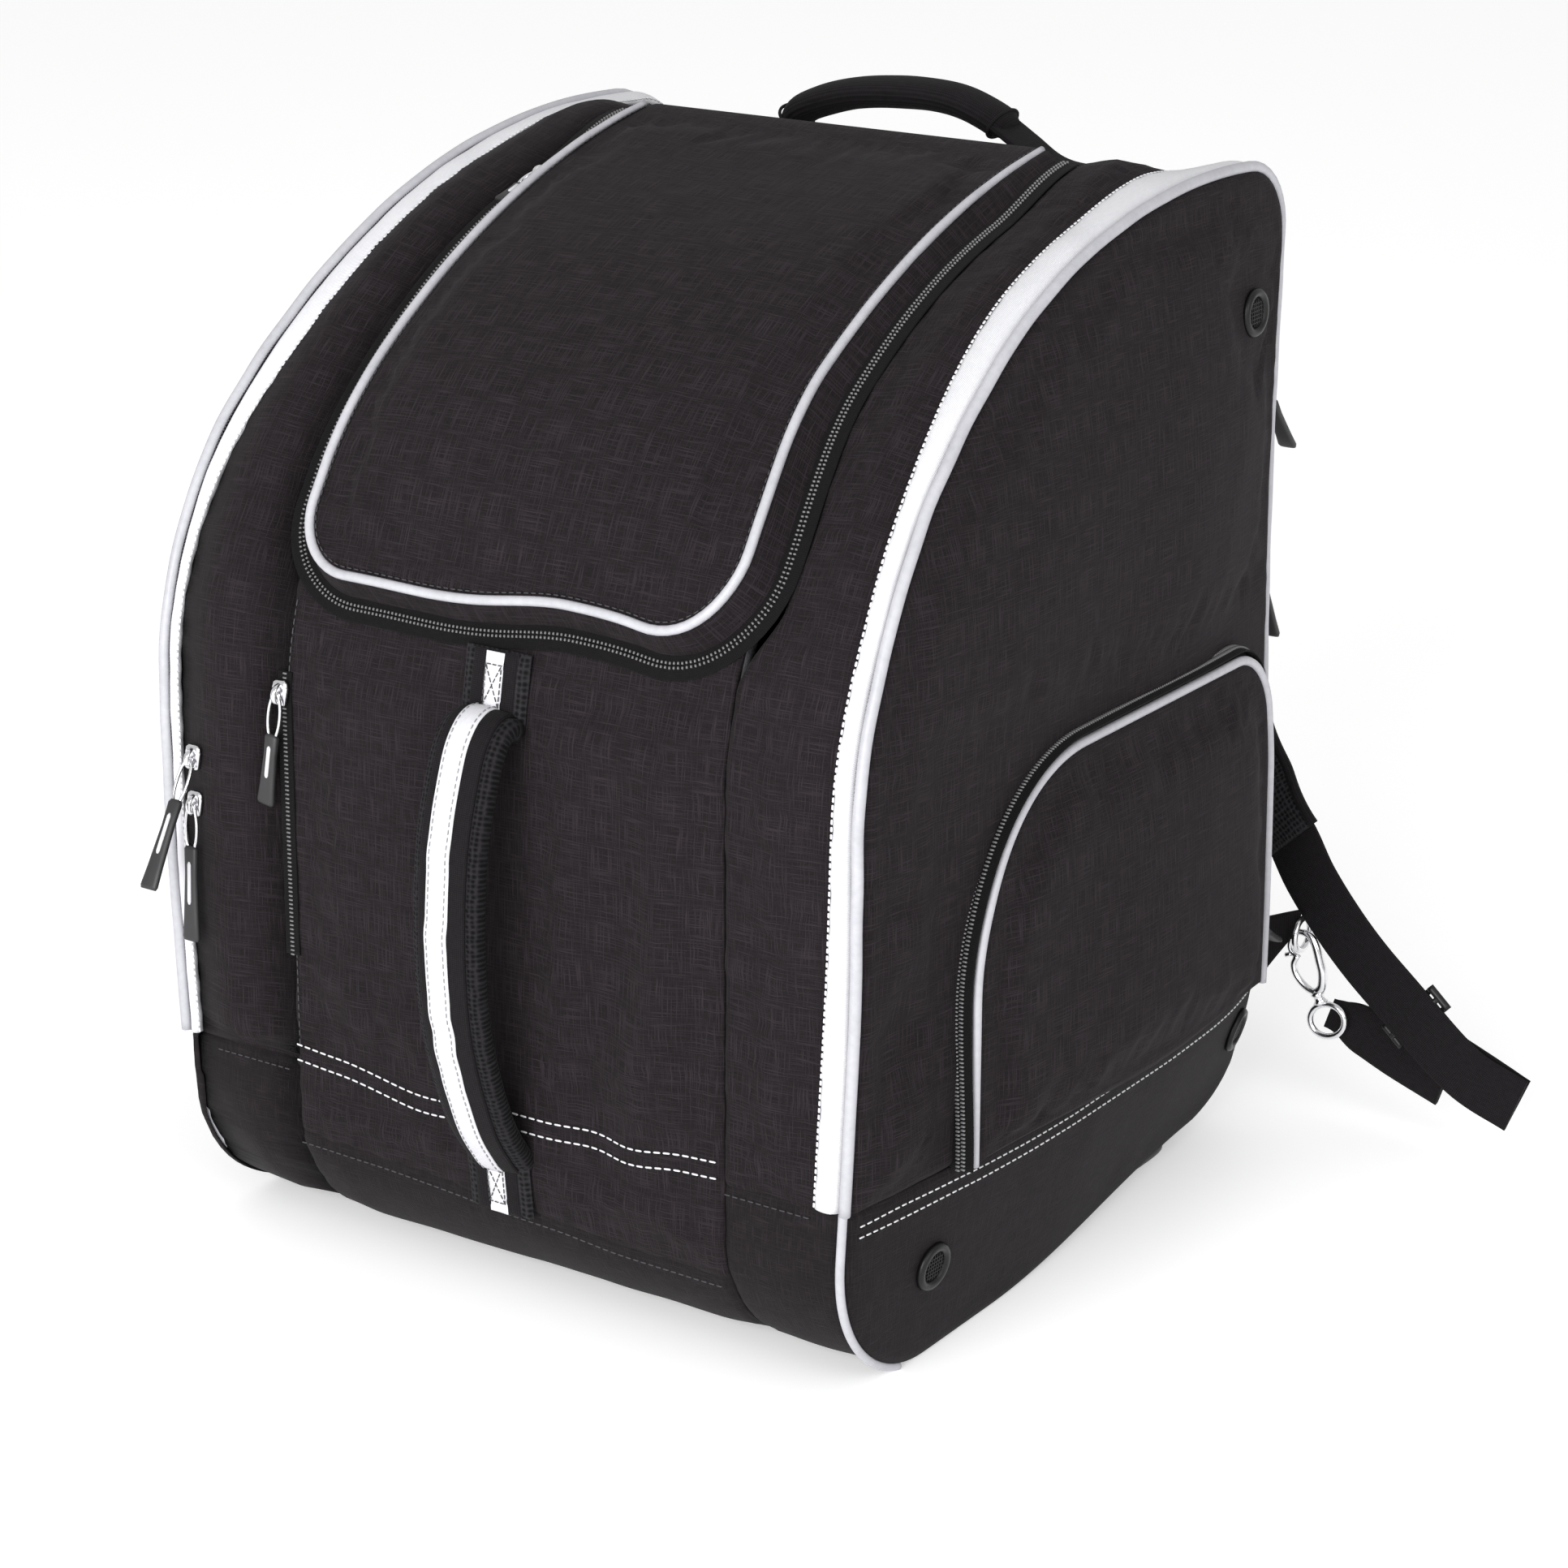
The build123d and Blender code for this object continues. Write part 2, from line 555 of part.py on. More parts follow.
for side, sign in SIDES.items():
    with BuildPart() as strap_pad:
        with BuildSketch(strap_plane(STRAP_Y - 6)):
            with BuildLine():
                Spline(
                    *[outward(sign, x, z) for x, z in PAD_PATH],
                    tangents=[outward(sign, 0.1, -1.0), outward(sign, 0.75, -0.66)],
                )
            trace(line_width=STRAP_PAD)
        extrude(amount=12)
    save(strap_pad, f"{side}_strap_pad")

    with BuildPart() as strap_webbing:
        with BuildSketch(strap_plane(STRAP_Y - WEB_THICKNESS / 2)):
            with BuildLine():
                Polyline(*[outward(sign, x, z) for x, z in WEB_PATH])
            trace(line_width=STRAP_WEB)
        extrude(amount=WEB_THICKNESS)
        with BuildSketch(strap_plane(STRAP_Y + 5.5)):
            with BuildLine():
                Line(*[outward(sign, x, z) for x, z in LEG_PATH])
            trace(line_width=STRAP_WEB)
        extrude(amount=WEB_THICKNESS)
    save(strap_webbing, f"{side}_strap_webbing")

    slope = degrees(atan2(WEB_PATH[1][1] - WEB_PATH[0][1], WEB_PATH[1][0] - WEB_PATH[0][0]))
    across = Plane(
        origin=(sign * ADJUSTER_AT[0], STRAP_Y, ADJUSTER_AT[1]),
        x_dir=(0, 1, 0),
        z_dir=(sign * cos(radians(slope)), 0, sin(radians(slope))),
    )
    with BuildPart() as adjuster:
        with BuildSketch(across):
            RectangleRounded(9, STRAP_WEB + 8, 2)
            Rectangle(WEB_THICKNESS + 1, STRAP_WEB + 1, mode=Mode.SUBTRACT)
        extrude(amount=7, both=True)
    save(adjuster, f"{side}_strap_adjuster")

    lean = radians(HOOK_LEAN)
    hook_plane = Plane(
        origin=(sign * HOOK_EYE[0], STRAP_Y, HOOK_EYE[1]),
        x_dir=(cos(lean), 0, sign * sin(lean)),
        z_dir=(0, -1, 0),
    )
    gate_x = HOOK_OUTER - (HOOK_OUTER - HOOK_INNER) / 2
    with BuildPart() as hook:
        with BuildSketch(hook_plane):
            with Locations((0, -LOOP_DROP / 2)):
                SlotOverall(LOOP_DROP + 2 * HOOK_OUTER, 2 * HOOK_OUTER, rotation=90)
                SlotOverall(LOOP_DROP + 2 * HOOK_INNER, 2 * HOOK_INNER, rotation=90, mode=Mode.SUBTRACT)
            with Locations((sign * gate_x, -LOOP_DROP / 2)):
                Rectangle(6, GATE_LENGTH + 1, mode=Mode.SUBTRACT)
            with Locations((0, -LOOP_DROP - HOOK_OUTER - 2)):
                Rectangle(6, 7)
            with Locations((0, -HOOK_REACH)):
                Circle(HOOK_OUTER)
                Circle(HOOK_OUTER - 3, mode=Mode.SUBTRACT)
        extrude(amount=HOOK_THICKNESS / 2, both=True)
    save(hook, f"{side}_strap_hook")

    with BuildPart() as gate:
        with BuildSketch(hook_plane):
            with Locations((sign * gate_x, -LOOP_DROP / 2)):
                RectangleRounded(GATE_WIDTH, GATE_LENGTH, 1.2)
        extrude(amount=1.5, both=True)
    save(gate, f"{side}_hook_gate")

with BuildPart() as strap_d_rings:
    for sign in SIDES.values():
        ring_plane = Plane(
            origin=(sign * HOOK_EYE[0], STRAP_Y, HOOK_EYE[1] + RING_RADIUS), x_dir=(0, 1, 0), z_dir=(1, 0, 0)
        )
        add(Solid.make_torus(RING_RADIUS, RING_WIRE, ring_plane))
save(strap_d_rings, "strap_d_rings")

# ---------------------------------------------------------------- sewn webbing anchors
TAB_HEIGHT = 44.0
with BuildPart() as webbing_anchors:
    for sign in SIDES.values():
        corner = (sign * 150.0, BACK + 2.2, HOOK_EYE[1])
        tip = (sign * (HOOK_EYE[0] - 3.5), STRAP_Y - 1.0, HOOK_EYE[1])
        reach = sqrt((tip[0] - corner[0]) ** 2 + (tip[1] - corner[1]) ** 2)
        toward = ((tip[0] - corner[0]) / reach, (tip[1] - corner[1]) / reach, 0)
        tab_plane = Plane(origin=corner, x_dir=toward, z_dir=(toward[1], -toward[0], 0))
        with BuildSketch(tab_plane):
            with BuildLine():
                Polyline(
                    (0, -TAB_HEIGHT),
                    (reach, 2 * RING_RADIUS - 2),
                    (reach, 2 * RING_RADIUS + 8),
                    (0, 8),
                    close=True,
                )
            make_face()
        extrude(amount=WEB_THICKNESS / 2, both=True)
        with BuildSketch(Plane.XZ.offset(-(BACK + 0.5))):
            with Locations((sign * STRAP_TOP[0], STRAP_TOP[1] + 10)):
                Rectangle(STRAP_PAD - 12, 8)
        extrude(amount=-(STRAP_Y - BACK))
        with BuildSketch(Plane.XY.offset(HEIGHT + 0.3)):
            with Locations((sign * (CARRY_SPAN + 18), CARRY_Y - 8)):
                Rectangle(26, 22)
        extrude(amount=WEB_THICKNESS)
    for z in (GRAB_LOW - 22, GRAB_HIGH + 22):
        with BuildSketch(Plane.XZ.offset(-FRONT + 0.3)):
            with Locations((0, z)):
                Rectangle(GRAB_WIDTH, 30)
        extrude(amount=WEB_THICKNESS)
save(webbing_anchors, "webbing_anchors")
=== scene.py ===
"""Looks of the ski boot bag: soft panels, piping, zips, stitching, webbing and metal round the CAD frame.
"""

import math

import bmesh
import bpy
import numpy as np
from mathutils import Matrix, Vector


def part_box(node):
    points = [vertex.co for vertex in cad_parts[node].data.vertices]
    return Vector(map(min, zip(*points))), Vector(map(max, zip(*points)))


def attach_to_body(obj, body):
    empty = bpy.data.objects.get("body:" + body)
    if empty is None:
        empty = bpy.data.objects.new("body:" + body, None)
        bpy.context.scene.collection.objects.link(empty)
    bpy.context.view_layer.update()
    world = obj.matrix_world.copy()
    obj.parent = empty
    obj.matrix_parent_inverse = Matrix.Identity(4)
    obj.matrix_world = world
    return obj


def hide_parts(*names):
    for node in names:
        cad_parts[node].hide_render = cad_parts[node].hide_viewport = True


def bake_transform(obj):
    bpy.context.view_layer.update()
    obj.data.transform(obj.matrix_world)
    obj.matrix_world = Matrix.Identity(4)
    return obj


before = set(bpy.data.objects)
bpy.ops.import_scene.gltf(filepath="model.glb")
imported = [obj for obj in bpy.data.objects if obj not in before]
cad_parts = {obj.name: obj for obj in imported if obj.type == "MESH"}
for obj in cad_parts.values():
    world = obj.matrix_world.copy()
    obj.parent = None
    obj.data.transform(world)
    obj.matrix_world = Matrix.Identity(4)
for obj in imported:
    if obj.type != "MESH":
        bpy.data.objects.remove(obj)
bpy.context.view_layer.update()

MM = 0.001
SIDES = {"left": -1, "right": 1}

# ---------------------------------------------------------------- measures read from the frame
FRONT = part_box("front_panel")[0].y
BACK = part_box("back_panel")[1].y
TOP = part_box("back_panel")[1].z
SEAM_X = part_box("front_panel")[1].x
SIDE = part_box("right_gusset")[1].x
DOOR_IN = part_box("right_door")[0].x
DOOR_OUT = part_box("right_door")[1].x
BAND_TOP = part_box("gusset_lower_bands")[1].z
CENTRE_BAND_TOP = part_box("front_lower_band")[1].z
FOOT_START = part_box("base_panel")[0].y
REAR_TOP_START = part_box("back_panel")[0].y
FLAP_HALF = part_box("helmet_flap")[1].x
FLAP_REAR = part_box("helmet_flap")[1].y
FLAP_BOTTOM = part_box("helmet_flap")[0].z

STRAIGHT_TOP = 262 * MM  # where the straight front starts to lean back
SHOULDER_RADIUS = 156 * MM
SHOULDER_SWEEP = 50.0
REAR_FOOT_RADIUS = 38 * MM
PIPING = 2.2 * MM  # radius of the white piping
SEAM_BOW = 9.5 * MM  # outward bow of the side seams round a packed boot
TOP_SAG = 12 * MM  # hang of the unfilled top behind the flap
REAR_LIFT = 12 * MM  # rise of the sides' bottom edge at the rear
REAR_TUCK = 14 * MM  # how far the sides draw in below, at the rear


# ---------------------------------------------------------------- small maths
def smooth(t):
    """Eases from 0 to 1 as t goes from 0 to 1."""
    t = np.clip(t, 0.0, 1.0)
    return t * t * (3 - 2 * t)


def hump(t, middle, reach):
    """1 at middle, easing to 0 at reach on both sides."""
    return smooth(1 - np.abs(np.asarray(t) - middle) / reach)


def rounded(t, power):
    """A cosine or sine pushed outward, which turns a circle into a box with round corners."""
    return np.sign(t) * np.abs(t) ** power


def lumps(u, v, size, seed):
    """Smooth random heights between about -1 and 1, one lump per size."""
    table = np.random.default_rng(seed).uniform(-1, 1, (64, 64))
    u, v = np.broadcast_arrays(np.asarray(u) / size, np.asarray(v) / size)
    column, row = np.floor(u).astype(int), np.floor(v).astype(int)
    a, b = smooth(u - column), smooth(v - row)
    low = table[row % 64, column % 64] * (1 - a) + table[row % 64, (column + 1) % 64] * a
    high = table[(row + 1) % 64, column % 64] * (1 - a) + table[(row + 1) % 64, (column + 1) % 64] * a
    return low * (1 - b) + high * b


def creases(u, v, seed):
    """The soft unevenness of stuffed fabric, in metres."""
    broad = 0.9 * lumps(u, v, 60 * MM, seed)
    fine = 0.35 * lumps(u, v, 22 * MM, seed + 1)
    return (broad + fine) * MM


def spaced(length, step, edges=(0.8, 2.0, 4.0)):
    """Places from 0 to length about step apart, closer together near both ends."""
    near = [e * MM for e in edges]
    middle = np.linspace(near[-1], length - near[-1], max(3, int(length / step)))
    return np.concatenate([[0.0], near[:-1], middle, [length - e for e in near[:-1][::-1]], [length]])


# ---------------------------------------------------------------- side outline of the bag
def arc(centre, radius, start, end):
    """Points on an arc and their outward directions."""
    count = max(4, int(abs(math.radians(end - start)) * radius / (2 * MM)))
    angle = np.radians(np.linspace(start, end, count))
    normal = np.stack([np.cos(angle), np.sin(angle)], 1)
    return np.array(centre) + radius * normal, normal


def line(start, end, normal):
    """Points on a straight stretch and their outward direction."""
    count = max(3, int(math.dist(start, end) / (4 * MM)))
    points = np.linspace(start, end, count)
    return points, np.tile(normal, (count, 1))


def side_outline():
    """Lengths, points (y, z) and outward directions along the side outline.

    It runs from under the front foot, up the front and over the top, down to the rear foot.
    """
    foot = FOOT_START - FRONT
    rear = BACK - REAR_TOP_START
    shoulder_centre = (FRONT + SHOULDER_RADIUS, STRAIGHT_TOP)
    sweep = math.radians(SHOULDER_SWEEP)
    join = (
        shoulder_centre[0] - SHOULDER_RADIUS * math.cos(sweep),
        shoulder_centre[1] + SHOULDER_RADIUS * math.sin(sweep),
    )
    crown_sweep = math.pi / 2 - sweep
    crown = (TOP - join[1]) / (1 - math.cos(crown_sweep))
    crown_centre = (join[0] + crown * math.sin(crown_sweep), TOP - crown)
    stretches = [
        arc((FOOT_START, foot), foot, 270, 180),
        line((FRONT, foot), (FRONT, STRAIGHT_TOP), (-1, 0)),
        arc(shoulder_centre, SHOULDER_RADIUS, 180, 180 - SHOULDER_SWEEP),
        arc(crown_centre, crown, 180 - SHOULDER_SWEEP, 90),
        line((crown_centre[0], TOP), (REAR_TOP_START, TOP), (0, 1)),
        arc((REAR_TOP_START, TOP - rear), rear, 90, 0),
        line((BACK, TOP - rear), (BACK, REAR_FOOT_RADIUS), (1, 0)),
        arc((BACK - REAR_FOOT_RADIUS, REAR_FOOT_RADIUS), REAR_FOOT_RADIUS, 0, -90),
    ]
    points = np.concatenate([p for p, _ in stretches])
    normals = np.concatenate([n for _, n in stretches])
    steps = np.linalg.norm(np.diff(points, axis=0), axis=1)
    keep = np.concatenate([[True], steps > 1e-7])
    points, normals = points[keep], normals[keep]
    lengths = np.concatenate([[0.0], np.cumsum(np.linalg.norm(np.diff(points, axis=0), axis=1))])
    return lengths, points, normals


LENGTHS, OUTLINE, OUTWARD = side_outline()
S_TOP = float(LENGTHS[np.argmax(OUTLINE[:, 1])])
S_END = float(LENGTHS[-1])


def front_at(z):
    """Length along the outline where its front is at height z."""
    front = LENGTHS <= S_TOP
    return float(np.interp(z, OUTLINE[front, 1], LENGTHS[front]))


def top_at(y):
    """Length along the outline where its upper half is at depth y."""
    upper = (OUTLINE[:, 1] > TOP / 2) & (OUTWARD[:, 1] > 0.02)
    return float(np.interp(y, OUTLINE[upper, 0], LENGTHS[upper]))


def back_at(z):
    """Length along the outline where its back is at height z."""
    rear = (LENGTHS > S_TOP) & (OUTWARD[:, 0] > 0.5)
    return float(np.interp(-z, -OUTLINE[rear, 1], LENGTHS[rear]))


S_SHOULDER = front_at(STRAIGHT_TOP + 70 * MM)
S_CROWN = top_at(-30 * MM)


def stuffing(s):
    """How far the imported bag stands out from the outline: full at the crown, slack elsewhere."""
    crown = 7 * MM * hump(s, S_CROWN, 190 * MM)
    shoulder = 2 * MM * hump(s, S_SHOULDER, 90 * MM)
    return crown - shoulder - 9 * MM * hump(s, back_at(330 * MM), 230 * MM)


def hinge_ridge(x, s):
    """The top stands up in a soft ridge where the flap is sewn on."""
    across = smooth((SIDE + 3 * MM - np.abs(x)) / (45 * MM))
    return 8.5 * MM * across * hump(s, top_at(FLAP_REAR - 4 * MM), 62 * MM)


def seam_bow(y, z):
    """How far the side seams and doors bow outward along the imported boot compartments."""
    rise = smooth((z + 40 * MM) / (260 * MM))
    fall = smooth((TOP - z) / (150 * MM))
    return SEAM_BOW * rise * fall * (1 - 0.9 * smooth((y - 60 * MM) / (BACK - 60 * MM)))


def side_bow(s):
    """The seam's outward bow at length s along the outline."""
    return seam_bow(*outline_at(s))


def top_sag(x, s):
    """How far the unfilled top hangs between its side seams, behind the flap's crown."""
    across = smooth((SIDE - np.abs(x)) / (55 * MM))
    along = smooth((s - top_at(FLAP_REAR)) / (45 * MM)) * smooth((back_at(TOP - 60 * MM) - s) / (60 * MM))
    return TOP_SAG * across * along


def rear_lift(y):
    """How far the soft bottom edge of the sides rises towards the rear."""
    return REAR_LIFT * smooth((y + 60 * MM) / (220 * MM))


def rear_tuck(y, z):
    """How far the sides draw in below, towards the rear."""
    return REAR_TUCK * smooth((y + 60 * MM) / (220 * MM)) * (1 - smooth(z / BAND_TOP))


def outline_at(s, out=0.0):
    """Depth and height on the outline at length s, moved outward by out."""
    y = np.interp(s, LENGTHS, OUTLINE[:, 0])
    z = np.interp(s, LENGTHS, OUTLINE[:, 1])
    ny = np.interp(s, LENGTHS, OUTWARD[:, 0])
    nz = np.interp(s, LENGTHS, OUTWARD[:, 1])
    return y + out * ny, z + out * nz


def skin(x, s, out=0.0):
    """Places on the bag's wrap-round surface: x across, s along the outline, out from it."""
    x, s, out = np.broadcast_arrays(x, s, out)
    y, z = outline_at(s, out + stuffing(s) + hinge_ridge(x, s) - top_sag(x, s))
    near_side = smooth(1 - (SIDE - np.abs(x)) / (120 * MM)) * (1 - smooth(z / (60 * MM)))
    return np.stack([x * (1 - rear_tuck(y, z) / SIDE), y, z + rear_lift(y) * near_side], -1)


def skin_normal(s):
    """Outward direction of the wrap-round surface."""
    s = np.asarray(s, float)
    ny = np.interp(s, LENGTHS, OUTWARD[:, 0])
    nz = np.interp(s, LENGTHS, OUTWARD[:, 1])
    return np.stack([np.zeros_like(s), ny, nz], -1)


# ---------------------------------------------------------------- mesh builders
def make_mesh(name, vertices, faces, uvs, look):
    """A smooth-shaded mesh with a map of its fabric directions, in metres."""
    mesh = bpy.data.meshes.new(name)
    mesh.from_pydata(np.asarray(vertices, float).reshape(-1, 3).tolist(), [], faces)
    mesh.update()
    layer = mesh.uv_layers.new(name="fabric")
    corners = np.zeros(len(mesh.loops), np.int32)
    mesh.loops.foreach_get("vertex_index", corners)
    layer.data.foreach_set("uv", np.asarray(uvs, np.float32).reshape(-1, 2)[corners].ravel())
    mesh.polygons.foreach_set("use_smooth", [True] * len(mesh.polygons))
    mesh.materials.append(LOOKS[look])
    edit = bmesh.new()
    edit.from_mesh(mesh)
    bmesh.ops.recalc_face_normals(edit, faces=edit.faces)
    edit.to_mesh(mesh)
    edit.free()
    piece = bpy.data.objects.new(name, mesh)
    bpy.context.scene.collection.objects.link(piece)
    return piece


def grid_faces(rows, columns, start=0, wrap=False):
    """Quads over a grid of points; wrap joins the last column to the first."""
    last = columns if wrap else columns - 1
    faces = []
    for r in range(rows - 1):
        for c in range(last):
            d = (c + 1) % columns
            low, high = start + r * columns, start + (r + 1) * columns
            faces.append((low + c, low + d, high + d, high + c))
    return faces


def slab(name, outer, inner, uvs, look, wrap=False):
    """A closed sheet between two grids of points; a wrapped one is round its first row's middle."""
    rows, columns = outer.shape[:2]
    count = rows * columns
    faces = grid_faces(rows, columns, 0, wrap) + grid_faces(rows, columns, count, wrap)
    if wrap:
        faces += [tuple(range(columns)), tuple(range(count, count + columns))]
        rim = [(rows - 1) * columns + c for c in range(columns)]
    else:
        rim = [c for c in range(columns)]
        rim += [r * columns + columns - 1 for r in range(1, rows)]
        rim += [(rows - 1) * columns + c for c in range(columns - 2, -1, -1)]
        rim += [r * columns for r in range(rows - 2, 0, -1)]
    for a, b in zip(rim, rim[1:] + rim[:1]):
        faces.append((a, b, b + count, a + count))
    vertices = np.concatenate([outer.reshape(-1, 3), inner.reshape(-1, 3)])
    both = np.concatenate([uvs.reshape(-1, 2)] * 2)
    return make_mesh(name, vertices, faces, both, look)


def unit(v):
    """Vectors scaled to length one."""
    return v / np.maximum(np.linalg.norm(v, axis=-1, keepdims=True), 1e-9)


def frames_along(path, normals):
    """Tangent, sideways and upward directions along a path that lies on a surface."""
    path = np.asarray(path, float)
    tangent = unit(np.gradient(path, axis=0))
    across = unit(np.cross(tangent, normals))
    return tangent, across, np.cross(across, tangent)


def sweep(name, path, normals, section, look, closed=False, size=1.0):
    """Carries a section of (across, up) points along a path."""
    path = np.asarray(path, float)
    normals = np.broadcast_to(normals, path.shape)
    _, across, up = frames_along(path, normals)
    section = np.asarray(section, float)
    size = np.broadcast_to(size, len(path))[:, None, None]
    points = path[:, None] + size * (
        across[:, None] * section[None, :, :1] + up[:, None] * section[None, :, 1:]
    )
    rows, columns = points.shape[:2]
    faces = grid_faces(rows, columns, 0, True)
    if closed:
        last = (rows - 1) * columns
        for c in range(columns):
            d = (c + 1) % columns
            faces.append((last + c, last + d, d, c))
    else:
        faces += [tuple(range(columns)), tuple(range((rows - 1) * columns, rows * columns))]
    along = np.concatenate([[0.0], np.cumsum(np.linalg.norm(np.diff(path, axis=0), axis=1))])
    uvs = np.stack(np.broadcast_arrays(section[None, :, 0], along[:, None]), -1)
    return make_mesh(name, points, faces, uvs, look)


def round_section(radius, sides=10, squash=1.0):
    """A circle or flattened circle."""
    angle = np.linspace(0, 2 * math.pi, sides, endpoint=False)
    return np.stack([radius * np.cos(angle), radius * squash * np.sin(angle)], 1)


def flat_section(width, thickness, crown=0.0, columns=12):
    """A webbing strip with rounded edges, thicker in the middle by crown."""
    half = width / 2 - thickness / 2
    x = np.linspace(-half, half, columns)
    top = thickness / 2 + crown * (1 - (x / half) ** 2)
    right = [(half + thickness / 2 * math.cos(a), thickness / 2 * math.sin(a)) for a in (0.9, 0.0, -0.9)]
    left = [(-half - thickness / 2 * math.cos(a), thickness / 2 * math.sin(a)) for a in (-0.9, 0.0, 0.9)]
    upper = list(zip(x, top))
    lower = list(zip(x[::-1], -top[::-1]))
    return np.array(upper + right + lower + left)


def resample(path, normals, spacing, start=0.0):
    """Places and directions evenly spaced along a path."""
    path = np.asarray(path, float)
    normals = np.broadcast_to(normals, path.shape)
    along = np.concatenate([[0.0], np.cumsum(np.linalg.norm(np.diff(path, axis=0), axis=1))])
    at = np.arange(start, along[-1], spacing)
    places = np.stack([np.interp(at, along, path[:, k]) for k in range(3)], 1)
    outs = np.stack([np.interp(at, along, normals[:, k]) for k in range(3)], 1)
    slopes = unit(np.gradient(path, axis=0))
    tangents = np.stack([np.interp(at, along, slopes[:, k]) for k in range(3)], 1)
    return places, unit(tangents), unit(outs)


def bead(length, width, height, sides=6):
    """A small rounded bar along its first axis, used for stitches and zip teeth."""
    stations = [(-0.5, 0.35), (-0.36, 1.0), (0.36, 1.0), (0.5, 0.35)]
    angle = np.linspace(0, 2 * math.pi, sides, endpoint=False)
    vertices = []
    for along, share in stations:
        for a in angle:
            vertices.append(
                (along * length, share * width / 2 * math.cos(a), share * height / 2 * math.sin(a))
            )
    faces = grid_faces(len(stations), sides, 0, True)
    faces += [tuple(range(sides)), tuple(range(3 * sides, 4 * sides))]
    return np.array(vertices), faces


def scatter(name, template, places, tangents, normals, look):
    """Copies of a small template at many places, joined in one mesh."""
    vertices, faces = template
    tangents = unit(tangents)
    across = unit(np.cross(normals, tangents))
    up = np.cross(tangents, across)
    points = (
        places[:, None]
        + tangents[:, None] * vertices[None, :, :1]
        + across[:, None] * vertices[None, :, 1:2]
        + up[:, None] * vertices[None, :, 2:]
    )
    count = len(vertices)
    all_faces = [tuple(i + k * count for i in face) for k in range(len(places)) for face in faces]
    uvs = np.tile(vertices[:, :2], (len(places), 1))
    return make_mesh(name, points, all_faces, uvs, look)


def stitches(name, path, normals, look="thread", length=3.4, gap=1.3, width=0.9, lift=0.2):
    """A row of lockstitches lying on a path; lengths in millimetres."""
    places, tangents, outs = resample(path, normals, (length + gap) * MM, 1.5 * MM)
    template = bead(length * MM, width * MM, 0.7 * MM)
    return scatter(name, template, places + outs * lift * MM, tangents, outs, look)


def zip_teeth(name, path, normals, rows=(-1.5, 1.5), pitch=1.5, look="zip_coil", tooth=2.3):
    """Rows of coil teeth across a zip's path; distances in millimetres."""
    batches = []
    for index, row in enumerate(rows):
        start = (index % 2) * pitch / 2 * MM
        places, tangents, outs = resample(path, normals, pitch * MM, start)
        across = unit(np.cross(tangents, outs))
        batches.append((places + across * row * MM + outs * 0.5 * MM, across, outs))
    places, across, outs = (np.concatenate(part) for part in zip(*batches))
    return scatter(name, bead(tooth * MM, 0.95 * MM, 1.3 * MM), places, across, outs, look)


# ---------------------------------------------------------------- cloth
def settle(points, out, free, reach=4.0, pressure=4.0, slack=0.02):
    """Inflates a grid of points as sewn-down cloth; no point ends further than reach millimetres away.

    out points away from the filling; free is 0 where the cloth is sewn down and 1 where it can move.
    """
    rows, columns = points.shape[:2]
    mesh = bpy.data.meshes.new("settling")
    faces = grid_faces(rows, columns)
    across = np.gradient(points, axis=1)
    up = np.gradient(points, axis=0)
    if (np.cross(across, up) * out).sum() < 0:
        faces = [face[::-1] for face in faces]
    mesh.from_pydata(points.reshape(-1, 3).tolist(), [], faces)
    sheet = bpy.data.objects.new("settling", mesh)
    bpy.context.scene.collection.objects.link(sheet)
    sewn = sheet.vertex_groups.new(name="sewn")
    for index, hold in enumerate(1 - np.broadcast_to(free, points.shape[:2]).ravel()):
        sewn.add([index], float(hold), "REPLACE")
    cloth = sheet.modifiers.new("cloth", "CLOTH")
    cloth.settings.quality = 5
    cloth.settings.mass = 0.25
    cloth.settings.tension_stiffness = 12
    cloth.settings.compression_stiffness = 12
    cloth.settings.shear_stiffness = 4
    cloth.settings.bending_stiffness = 0.3
    cloth.settings.use_pressure = True
    cloth.settings.uniform_pressure_force = pressure
    cloth.settings.shrink_min = -slack
    cloth.settings.vertex_group_mass = "sewn"
    cloth.settings.effector_weights.gravity = 0
    for step in range(1, 21):
        bpy.context.scene.frame_set(step)
    settled = sheet.evaluated_get(bpy.context.evaluated_depsgraph_get()).data
    places = np.zeros(rows * columns * 3, np.float32)
    settled.vertices.foreach_get("co", places)
    bpy.data.objects.remove(sheet)
    bpy.context.scene.frame_set(1)
    shift = places.reshape(rows, columns, 3) - points
    distance = np.linalg.norm(shift, axis=-1, keepdims=True)
    return points + shift * reach * MM / np.maximum(distance, reach * MM)


